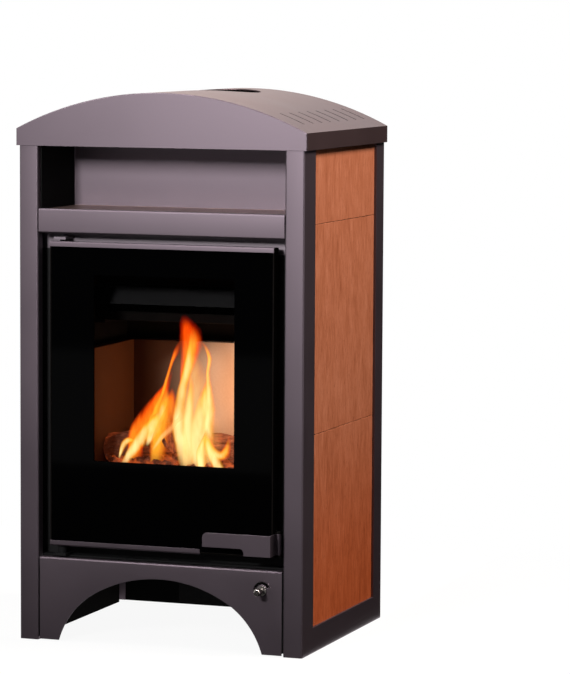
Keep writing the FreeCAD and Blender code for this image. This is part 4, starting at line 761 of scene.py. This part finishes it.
# Edge rounding in millimetres for the pieces whose edges show
SOFT_EDGES = {
    "side_frame_right": 0.5,
    "side_frame_left": 0.5,
    "niche_liner": 0.4,
    "niche_rail": 0.7,
    "plinth_panel": 0.9,
    "door_top_trim": 0.3,
    "door_bottom_trim": 0.3,
    "door_handle": 0.7,
    "door_frame": 0.4,
    "door_glass": 0.5,
    "lining_left": 1.5,
    "lining_right": 1.5,
    "lining_back": 1.5,
    "hearth_plate": 1.5,
    "log_guard": 1.0,
    "grate": 1.0,
    "flue_baffle": 1.5,
    "flue_collar": 0.6,
    "servo_motor": 0.8,
    "servo_bracket": 0.4,
    "latch_hook": 0.6,
    "latch_keeper": 0.4,
    "hinge_brackets": 0.6,
    "rear_bolts": 0.5,
    "pipe_sockets": 0.8,
    "cooling_sockets": 0.6,
    "ash_pan": 0.4,
    "air_inlet_duct": 0.5,
    "lead_grommet": 0.6,
    "foot_plates": 0.5,
    "plinth_angles": 0.4,
}


def dress_solids():
    """Every CAD piece gets its finish, and the pieces whose edges show get a skin."""
    tile_shift = 0.0
    shift_between_tiles = 1.7
    tile_edge = 0.7
    for node, solid in nodes.items():
        if SLOT_OF[node] == "tile_wood":
            tile_shift += shift_between_tiles
            soften(node, wood_grain(node + "_grain", (tile_shift, tile_shift * 2, 0)), tile_edge)
            continue
        finish = OWN_FINISH.get(node, FINISH_OF_SLOT[SLOT_OF[node]])
        if node in SOFT_EDGES:
            soften(node, finish, SOFT_EDGES[node])
            continue
        solid.data.materials.clear()
        solid.data.materials.append(finish)


# Geometry Nodes for what repeats


class Pattern(Graph):
    """A Geometry Nodes tree with named sizes."""

    def __init__(self, name, sizes):
        super().__init__(bpy.data.node_groups.new(name, "GeometryNodeTree"))
        face = self.tree.interface
        face.new_socket("Geometry", in_out="INPUT", socket_type="NodeSocketGeometry")
        face.new_socket("Geometry", in_out="OUTPUT", socket_type="NodeSocketGeometry")
        kinds = {float: "NodeSocketFloat", int: "NodeSocketInt"}
        self.values = {}
        self.keys = {}
        for size, value in sizes.items():
            socket = face.new_socket(size, in_out="INPUT", socket_type=kinds[type(value)])
            self.keys[socket.identifier] = value
        self.start = self.node("NodeGroupInput")
        for size in sizes:
            self.values[size] = Term(self, self.start.outputs[size])

    def finish(self, geometry, material):
        """Real meshes with one material as the tree's result."""
        real = self.node("GeometryNodeRealizeInstances", None, {0: geometry})
        sockets = {"Geometry": real.outputs[0], "Material": material}
        painted = self.node("GeometryNodeSetMaterial", None, sockets)
        end = self.node("NodeGroupOutput")
        self.tree.links.new(painted.outputs[0], end.inputs[0])

    def mesh(self, base, name):
        """The tree's result on a base mesh, as a plain mesh."""
        holder = bpy.data.objects.new(name, base)
        scene.collection.objects.link(holder)
        modifier = holder.modifiers.new("pattern", "NODES")
        modifier.node_group = self.tree
        for key, value in self.keys.items():
            modifier[key] = value
        ready = bpy.context.evaluated_depsgraph_get()
        result = bpy.data.meshes.new_from_object(holder.evaluated_get(ready), depsgraph=ready)
        result.name = name
        bpy.data.objects.remove(holder)
        return result


def rope_seal():
    """Twisted cord pressed into the groove round the back of the door."""
    low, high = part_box("door_gasket")
    core = 3.4 * MM
    strand_radius = 2.3 * MM
    cord = 2 * (core + strand_radius)
    strand_count = 6
    strand_sides = 6
    pattern = Pattern("rope_seal", {
        "Width": high.x - low.x - cord,
        "Height": high.z - low.z - cord,
        "Corner": 14 * MM,
        "Core": core,
        "Strand": strand_radius,
        "Turns": 150.0,
    })
    sizes = pattern.values
    path = pattern.node(
        "GeometryNodeCurvePrimitiveQuadrilateral",
        None,
        {"Width": sizes["Width"], "Height": sizes["Height"]},
    )
    rounded = pattern.node(
        "GeometryNodeFilletCurve",
        {"mode": "POLY"},
        {"Curve": path.outputs[0], "Radius": sizes["Corner"], "Count": 8},
    )
    fine = pattern.node("GeometryNodeResampleCurve", None, {"Curve": rounded.outputs[0], "Count": 1500})
    along = pattern.node("GeometryNodeSplineParameter")
    twist = Term(pattern, along.outputs["Factor"]) * sizes["Turns"] * (2 * math.pi / strand_count)
    tilted = pattern.node("GeometryNodeSetCurveTilt", None, {"Curve": fine.outputs[0], "Tilt": twist})
    ring = pattern.node(
        "GeometryNodeCurvePrimitiveCircle",
        None,
        {"Resolution": strand_count, "Radius": sizes["Core"]},
    )
    strand = pattern.node(
        "GeometryNodeCurvePrimitiveCircle",
        None,
        {"Resolution": strand_sides, "Radius": sizes["Strand"]},
    )
    strands = pattern.node(
        "GeometryNodeInstanceOnPoints",
        None,
        {"Points": ring.outputs[0], "Instance": strand.outputs[0]},
    )
    section = pattern.node("GeometryNodeRealizeInstances", None, {0: strands.outputs[0]})
    body = pattern.node(
        "GeometryNodeCurveToMesh",
        None,
        {"Curve": tilted.outputs[0], "Profile Curve": section.outputs[0]},
    )
    pattern.finish(body.outputs[0], FIBRE)
    mesh = pattern.mesh(bpy.data.meshes.new("rope_seal_base"), "door_rope_seal")
    middle = (low + high) / 2
    mesh.transform(Matrix.Translation(middle) @ Matrix.Rotation(math.radians(90), 4, "X"))
    smooth_faces(mesh, 60)
    piece = add_piece("door_rope_seal", mesh, FIBRE, "door")
    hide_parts("door_gasket")


def ember_bed():
    """Broken embers strewn over the grate and the hearth."""
    pattern = Pattern("ember_bed", {"Density": 5200.0, "Smallest": 0.006, "Largest": 0.017, "Seed": 11})
    sizes = pattern.values
    dent_scale = 1.3
    dent_depth = 1.5
    full_turn = (6.28, 6.28, 6.28)
    scatter = pattern.node(
        "GeometryNodeDistributePointsOnFaces",
        None,
        {"Mesh": pattern.start.outputs[0], "Density": sizes["Density"], "Seed": sizes["Seed"]},
    )
    lump = pattern.node("GeometryNodeMeshIcoSphere", None, {"Radius": 1.0, "Subdivisions": 2})
    dents = pattern.node("ShaderNodeTexNoise", None, {"Scale": dent_scale, "Detail": 2.0})
    outward = pattern.node("GeometryNodeInputNormal")
    push = pattern.node(
        "ShaderNodeVectorMath",
        {"operation": "SCALE"},
        {0: outward.outputs[0], "Scale": (Term(pattern, dents.outputs[0]) - 0.5) * dent_depth},
    )
    rough = pattern.node(
        "GeometryNodeSetPosition",
        None,
        {"Geometry": lump.outputs[0], "Offset": push.outputs[0]},
    )
    # Random Value's numbers are its inputs 2 and 3 and its output 1, its vectors inputs 0 and 1 and output 0
    grow = pattern.node(
        "FunctionNodeRandomValue",
        {"data_type": "FLOAT"},
        {2: sizes["Smallest"], 3: sizes["Largest"], "Seed": sizes["Seed"]},
    )
    turn = pattern.node(
        "FunctionNodeRandomValue",
        {"data_type": "FLOAT_VECTOR"},
        {0: (0, 0, 0), 1: full_turn, "Seed": 5},
    )
    strewn = pattern.node(
        "GeometryNodeInstanceOnPoints",
        None,
        {
            "Points": scatter.outputs[0],
            "Instance": rough.outputs[0],
            "Scale": grow.outputs[1],
            "Rotation": turn.outputs[0],
        },
    )
    pattern.finish(strewn.outputs[0], EMBER)
    # Corners of the bed as (x, depth behind the posts, height over the hearth), in millimetres
    corners = [(-140, 80, 24), (140, 80, 16), (140, 236, 44), (-140, 236, 74)]
    bed = bmesh.new()
    bed.faces.new([bed.verts.new(fire_place(*corner)) for corner in corners])
    base = bpy.data.meshes.new("ember_bed_base")
    bed.to_mesh(base)
    bed.free()
    mesh = pattern.mesh(base, "ember_bed")
    smooth_faces(mesh, 40)
    add_piece("ember_bed", mesh, EMBER, "casing")


def servo_screws():
    """Four pan-head screws through the servo's ears."""
    low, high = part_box("servo_motor")
    ear_face = low.x + 12.5 * MM
    taper = 0.72
    pattern = Pattern("servo_screws", {"Across": 0.010, "Up": 0.0485, "Head": 0.0026, "Rise": 0.002})
    sizes = pattern.values
    grid = pattern.node(
        "GeometryNodeMeshGrid",
        None,
        {"Size X": sizes["Across"], "Size Y": sizes["Up"], "Vertices X": 2, "Vertices Y": 2},
    )
    head = pattern.node(
        "GeometryNodeMeshCone",
        None,
        {
            "Vertices": 20,
            "Radius Top": sizes["Head"] * taper,
            "Radius Bottom": sizes["Head"],
            "Depth": sizes["Rise"],
        },
    )
    placed = pattern.node(
        "GeometryNodeInstanceOnPoints",
        None,
        {"Points": grid.outputs[0], "Instance": head.outputs[0]},
    )
    pattern.finish(placed.outputs[0], STEEL)
    mesh = pattern.mesh(bpy.data.meshes.new("servo_screws_base"), "servo_screws")
    middle = Vector((ear_face, (low.y + high.y) / 2, (low.z + high.z) / 2))
    # The grid's X and Y become the stove's Y and Z, and the heads point along X
    outward = Matrix(((0, 0, 1, 0), (1, 0, 0, 0), (0, 1, 0, 0), (0, 0, 0, 1)))
    mesh.transform(Matrix.Translation(middle) @ outward)
    smooth_faces(mesh, 40)
    add_piece("servo_screws", mesh, STEEL, "casing")


# Fire


def log(name, start, end, radius_mm, seed):
    """A log with ridged bark, laid from one place in the firebox to another."""
    first = fire_place(*start)
    last = fire_place(*end)
    axis = (last - first).normalized()
    side = axis.cross(Vector((0, 0, 1))).normalized()
    top = side.cross(axis)
    rings = 22
    spokes = 40
    ridge_scale = 4
    ridge_change = 0.16
    ridge_depth = 0.10
    chip_scale = 1.2
    chip_change = 0.3
    chip_depth = 0.16
    wood = bmesh.new()
    rows = []
    for ring in range(rings + 1):
        centre = first.lerp(last, ring / rings)
        row = []
        for spoke in range(spokes):
            angle = 2 * math.pi * spoke / spokes
            way = side * math.cos(angle) + top * math.sin(angle)
            around = Vector((math.cos(angle), math.sin(angle), 0))
            ridge = noise.noise(around * ridge_scale + Vector((0, 0, ring * ridge_change + seed)))
            chip = noise.noise(around * chip_scale + Vector((0, 0, ring * chip_change + seed * 3)))
            swell = 1 + ridge_depth * ridge + chip_depth * chip
            row.append(wood.verts.new(centre + way * radius_mm * MM * swell))
        rows.append(row)
    for near, far in zip(rows, rows[1:]):
        for spoke in range(spokes):
            following = (spoke + 1) % spokes
            wood.faces.new((near[spoke], near[following], far[following], far[spoke]))
    wood.faces.new(list(reversed(rows[0])))
    wood.faces.new(rows[-1])
    bmesh.ops.recalc_face_normals(wood, faces=wood.faces)
    mesh = bpy.data.meshes.new(name)
    wood.to_mesh(mesh)
    wood.free()
    smooth_faces(mesh, 50)
    add_piece(name, mesh, LOG, "casing")


def curve_between(points, share):
    """A place on a smooth line through several places, with the width there."""
    spans = len(points) - 1
    span = min(int(share * spans), spans - 1)
    part = share * spans - span
    nearest = (points[max(span - 1, 0)], points[span], points[span + 1], points[min(span + 2, spans)])
    place = []
    for before, start, end, after in zip(*nearest):
        slope = (end - before) * part
        bend = (2 * before - 5 * start + 4 * end - after) * part ** 2
        turn = (3 * start - before - 3 * end + after) * part ** 3
        place.append(0.5 * (2 * start + slope + bend + turn))
    return place


def flame(name, depth_mm, points, material):
    """One tongue of fire: a curved sheet along places given as (x, z, half width), in millimetres."""
    rows = 60
    columns = 12
    reach = 0.01
    fullness = 0.6
    least_bulge = 1
    least_half = 0.4
    sheet = bmesh.new()
    layer = sheet.loops.layers.uv.new("flame")
    grid = []
    for row in range(rows + 1):
        share = row / rows
        x, z, half = curve_between(points, share)
        ahead = curve_between(points, min(share + reach, 1.0))
        back = curve_between(points, max(share - reach, 0.0))
        way = Vector((ahead[0] - back[0], 0, ahead[1] - back[1])).normalized()
        out = Vector((way.z, 0, -way.x))
        line = []
        for column in range(columns + 1):
            across = column / columns * 2 - 1
            bulge = (1 - across * across) * max(half, least_bulge) * fullness
            place = Vector((x, 0, z)) + out * across * max(half, least_half)
            line.append(sheet.verts.new((place.x * MM, behind(depth_mm - bulge), place.z * MM)))
        grid.append(line)
    for row in range(rows):
        for column in range(columns):
            corners = ((row, column), (row, column + 1), (row + 1, column + 1), (row + 1, column))
            face = sheet.faces.new([grid[up][over] for up, over in corners])
            for loop, (up, over) in zip(face.loops, corners):
                loop[layer].uv = (over / columns, up / rows)
    mesh = bpy.data.meshes.new(name)
    sheet.to_mesh(mesh)
    sheet.free()
    smooth_faces(mesh, 180)
    add_piece(name, mesh, material, "casing")


# Depth behind the posts, places along the tongue as (x, z, half width) in millimetres, and the finish
FLAME_TONGUES = [
    (104, [(-92, 330, 14), (-84, 384, 24), (-62, 420, 26), (-42, 454, 18), (-26, 486, 8), (-14, 516, 2)],
     RED_FLAME),
    (102, [(36, 322, 40), (38, 386, 50), (38, 436, 46), (36, 484, 34), (28, 530, 20), (14, 580, 5)],
     FLAME_VEIL),
    (98, [(-46, 330, 16), (-36, 392, 22), (-20, 438, 20), (-14, 464, 10), (-13, 484, 2)], ORANGE_FLAME),
    (95, [(-64, 368, 3), (-54, 390, 10), (-41, 414, 14), (-29, 440, 15), (-23, 464, 11), (-24, 488, 2)],
     BRIGHT_FLAME),
    (94, [(-70, 394, 7), (-46, 432, 10), (-33, 464, 6), (-22, 500, 4), (-12, 532, 4), (-1, 556, 7),
          (8, 578, 2)], ORANGE_FLAME),
    (90, [(50, 322, 20), (48, 392, 25), (52, 440, 19), (59, 478, 11), (63, 506, 2)], BRIGHT_FLAME),
    (88, [(25, 322, 14), (24, 400, 15), (27, 446, 11), (30, 486, 7), (27, 514, 1)], BRIGHT_FLAME),
    (86, [(70, 322, 10), (66, 398, 13), (69, 442, 13), (67, 482, 8), (64, 514, 5), (67, 542, 5),
          (60, 562, 4), (47, 578, 1)], BRIGHT_FLAME),
    (108, [(4, 478, 6), (10, 510, 13), (18, 542, 20), (22, 566, 25), (19, 588, 24), (11, 606, 16),
           (5, 622, 5)], RED_FLAME),
    (83, [(24, 322, 15), (15, 372, 17), (8, 404, 17), (8, 436, 15), (12, 472, 12), (21, 508, 11),
          (32, 544, 14), (38, 572, 15), (37, 590, 11), (34, 602, 3)], BRIGHT_FLAME),
    (65, [(-104, 330, 6), (-78, 366, 12), (-56, 394, 16), (-38, 414, 16), (-22, 432, 12), (-12, 458, 4)],
     BRIGHT_FLAME),
    (64, [(-108, 346, 2), (-98, 374, 7), (-86, 383, 7), (-66, 381, 4)], BRIGHT_FLAME),
    (79, [(-46, 362, 3), (-26, 390, 6), (-9, 405, 8), (8, 424, 10), (16, 452, 3)], FLAME_VEIL),
    (78, [(60, 398, 4), (71, 376, 9), (84, 363, 11), (98, 362, 11), (107, 376, 8), (111, 400, 2)],
     BRIGHT_FLAME),
    (77, [(98, 324, 11), (80, 358, 13), (69, 384, 11), (64, 416, 2)], BRIGHT_FLAME),
    (76, [(60, 322, 10), (53, 360, 10), (60, 386, 7), (68, 410, 2)], BRIGHT_FLAME),
]

# Both ends as in fire_place, the radius in millimetres and where the bark's pattern starts
LOGS = {
    "log_left": ((-120, 150, 34), (0, 212, 40), 34, 2.0),
    "log_front": ((-154, 138, 44), (-20, 116, 74), 29, 5.0),
    "log_right": ((-30, 150, 30), (150, 195, 34), 30, 7.0),
    "log_top": ((-115, 205, 58), (115, 178, 48), 27, 13.0),
}


def fire():
    for name, (start, end, radius, seed) in LOGS.items():
        log(name, start, end, radius, seed)
    ember_bed()
    for index, (depth, points, finish) in enumerate(FLAME_TONGUES):
        flame("flame_%d" % index, depth, points, finish)


# Stage, light and camera


def seen_directly(graph):
    """1 for what the camera, a mirror or a glass shows, 0 for light on other things."""
    path = graph.node("ShaderNodeLightPath")
    camera = Term(graph, path.outputs["Is Camera Ray"])
    glossy = Term(graph, path.outputs["Is Glossy Ray"])
    clear = Term(graph, path.outputs["Is Transmission Ray"])
    return camera.largest(glossy).largest(clear)


def flat_sheet(name, low, high, material):
    """A flat rectangle between two opposite corners, level or upright."""
    if low[2] == high[2]:
        corners = [low, (high[0], low[1], low[2]), high, (low[0], high[1], low[2])]
    else:
        corners = [low, (high[0], high[1], low[2]), high, (low[0], low[1], high[2])]
    mesh = bpy.data.meshes.new(name)
    mesh.from_pydata(corners, [], [(0, 1, 2, 3)])
    mesh.materials.append(material)
    sheet = bpy.data.objects.new(name, mesh)
    scene.collection.objects.link(sheet)
    return sheet


def pale_floor():
    """A floor that shows almost white, and keeps a little of the stove's shadow close to it."""
    finish = Finish("pale_floor")
    speck = finish.noise(30, detail=2)
    pale = finish.blend(speck, (0.86, 0.86, 0.86), (0.9, 0.9, 0.9))
    diffuse = finish.node("ShaderNodeBsdfDiffuse", None, {"Color": pale})
    white = finish.node("ShaderNodeEmission", None, {"Strength": 1.0})
    across, deep, _ = finish.axes()
    distance = (across * across + deep * deep) ** 0.5
    white_close_by = 0.93
    share = seen_directly(finish) * (white_close_by + distance.step(0.4, 1.4) * (1 - white_close_by))
    mixed = finish.node("ShaderNodeMixShader", None, {0: share, 1: diffuse.outputs[0], 2: white.outputs[0]})
    finish.tree.links.new(mixed.outputs[0], finish.end.inputs["Surface"])
    half = 14.0
    floor = flat_sheet("floor", (-half, -half, 0), (half, half, 0), finish.material)
    floor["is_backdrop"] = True


def pale_world():
    world = bpy.data.worlds.new("studio")
    scene.world = world
    world.use_nodes = True
    graph = Graph(world.node_tree)
    graph.tree.nodes.clear()
    light = 0.35
    shown = 1.0
    strength = light + seen_directly(graph) * (shown - light)
    background = graph.node("ShaderNodeBackground", None, {"Color": (1, 1, 1, 1), "Strength": strength})
    end = graph.node("ShaderNodeOutputWorld")
    graph.tree.links.new(background.outputs[0], end.inputs["Surface"])


def lamp(name, place, target, watts, size, spread_degrees, colour):
    """A soft rectangular studio lamp."""
    light = bpy.data.lights.new(name, "AREA")
    light.shape = "RECTANGLE"
    light.size = size[0]
    light.size_y = size[1]
    light.energy = watts
    light.spread = math.radians(spread_degrees)
    light.color = colour
    holder = bpy.data.objects.new(name, light)
    holder.location = place
    holder.rotation_euler = (Vector(target) - Vector(place)).to_track_quat("-Z", "Y").to_euler()
    scene.collection.objects.link(holder)


def fire_glow():
    """Warm light from the flames on the lining and the logs."""
    glow = bpy.data.lights.new("fire_glow", "POINT")
    glow.energy = 1.3
    glow.color = (1.0, 0.66, 0.45)
    glow.shadow_soft_size = 0.04
    holder = bpy.data.objects.new("fire_glow", glow)
    holder.location = (0.1, behind(140), 0.465)
    scene.collection.objects.link(holder)


def dark_cards():
    """Black studio cards that the camera doesn't see, but the front and the right side reflect."""
    finish = Finish("dark_card")
    weave = finish.noise(300, detail=1)
    tone = finish.blend(weave, (0.004, 0.004, 0.004), (0.01, 0.01, 0.01))
    finish.surface(Base_Color=tone, Roughness=1.0, Specular_IOR_Level=0.0)
    off_floor = 0.5 * MM
    front = behind(0)
    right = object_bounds()[1][0]
    far_right = 2.6
    far_back = 12
    # Two opposite corners of each card
    cards = {
        "side_card": ((0.75, -0.15, 0), (0.75, far_back, 2.2)),
        "front_card": ((-2.4, -2.6, off_floor), (far_right, front, off_floor)),
        "right_card": ((right, front, off_floor), (far_right, far_back, off_floor)),
        "room_card": ((-5, -5.4, 0), (5, -5.4, 4.5)),
    }
    for name, (low, high) in cards.items():
        card = flat_sheet(name, low, high, finish.material)
        card.visible_camera = False
        card.visible_shadow = False
        card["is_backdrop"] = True


def studio():
    neutral = (1, 1, 1)
    rosy = (1.0, 0.86, 0.8)
    warm = (1.0, 0.78, 0.62)
    pale_floor()
    pale_world()
    # Place, target, watts, width and height, spread in degrees, and colour
    lamp("key", (-0.3, -3.1, 1.68), (0.05, 0, 0.95), 15, (0.5, 0.5), 72, neutral)
    lamp("side_lamp", (1.9, 0.1, 2.9), (0.28, 0, 0.75), 51, (1.0, 1.0), 100, rosy)
    lamp("top_lamp", (-0.7, 1.5, 2.5), (0, 0, 1.0), 3, (1.2, 0.8), 100, warm)
    lamp("edge_lamp", (-0.65, -0.7, 2.7), (0, -0.2, 0.7), 10, (0.8, 0.8), 100, neutral)
    dark_cards()
    fire_glow()


def photo_camera():
    """The photo's viewpoint, fitted to the casing's edges."""
    place = (2.34906, behind(-5852.11), 1.19161)
    image_height = 674
    focal_pixels = 3397.49
    camera = bpy.data.cameras.new("photo_camera")
    camera.sensor_width = 36.0
    camera.lens = focal_pixels * camera.sensor_width / image_height
    camera.clip_end = 100
    holder = bpy.data.objects.new("photo_camera", camera)
    yaw = math.radians(-19.746)
    pitch = math.radians(-5.460)
    roll = math.radians(0.309)
    ahead = Vector((math.sin(yaw) * math.cos(pitch), math.cos(yaw) * math.cos(pitch), math.sin(pitch)))
    right = Vector((math.cos(yaw), -math.sin(yaw), 0))
    up = right.cross(ahead)
    level_right = right * math.cos(roll) + up * math.sin(roll)
    level_up = up * math.cos(roll) - right * math.sin(roll)
    turn = Matrix((level_right, level_up, -ahead)).transposed().to_4x4()
    holder.matrix_world = Matrix.Translation(place) @ turn
    scene.collection.objects.link(holder)
    scene.camera = holder


def main():
    dress_solids()
    rope_seal()
    servo_screws()
    fire()
    studio()
    photo_camera()
    scene.view_settings.view_transform = "Standard"


main()
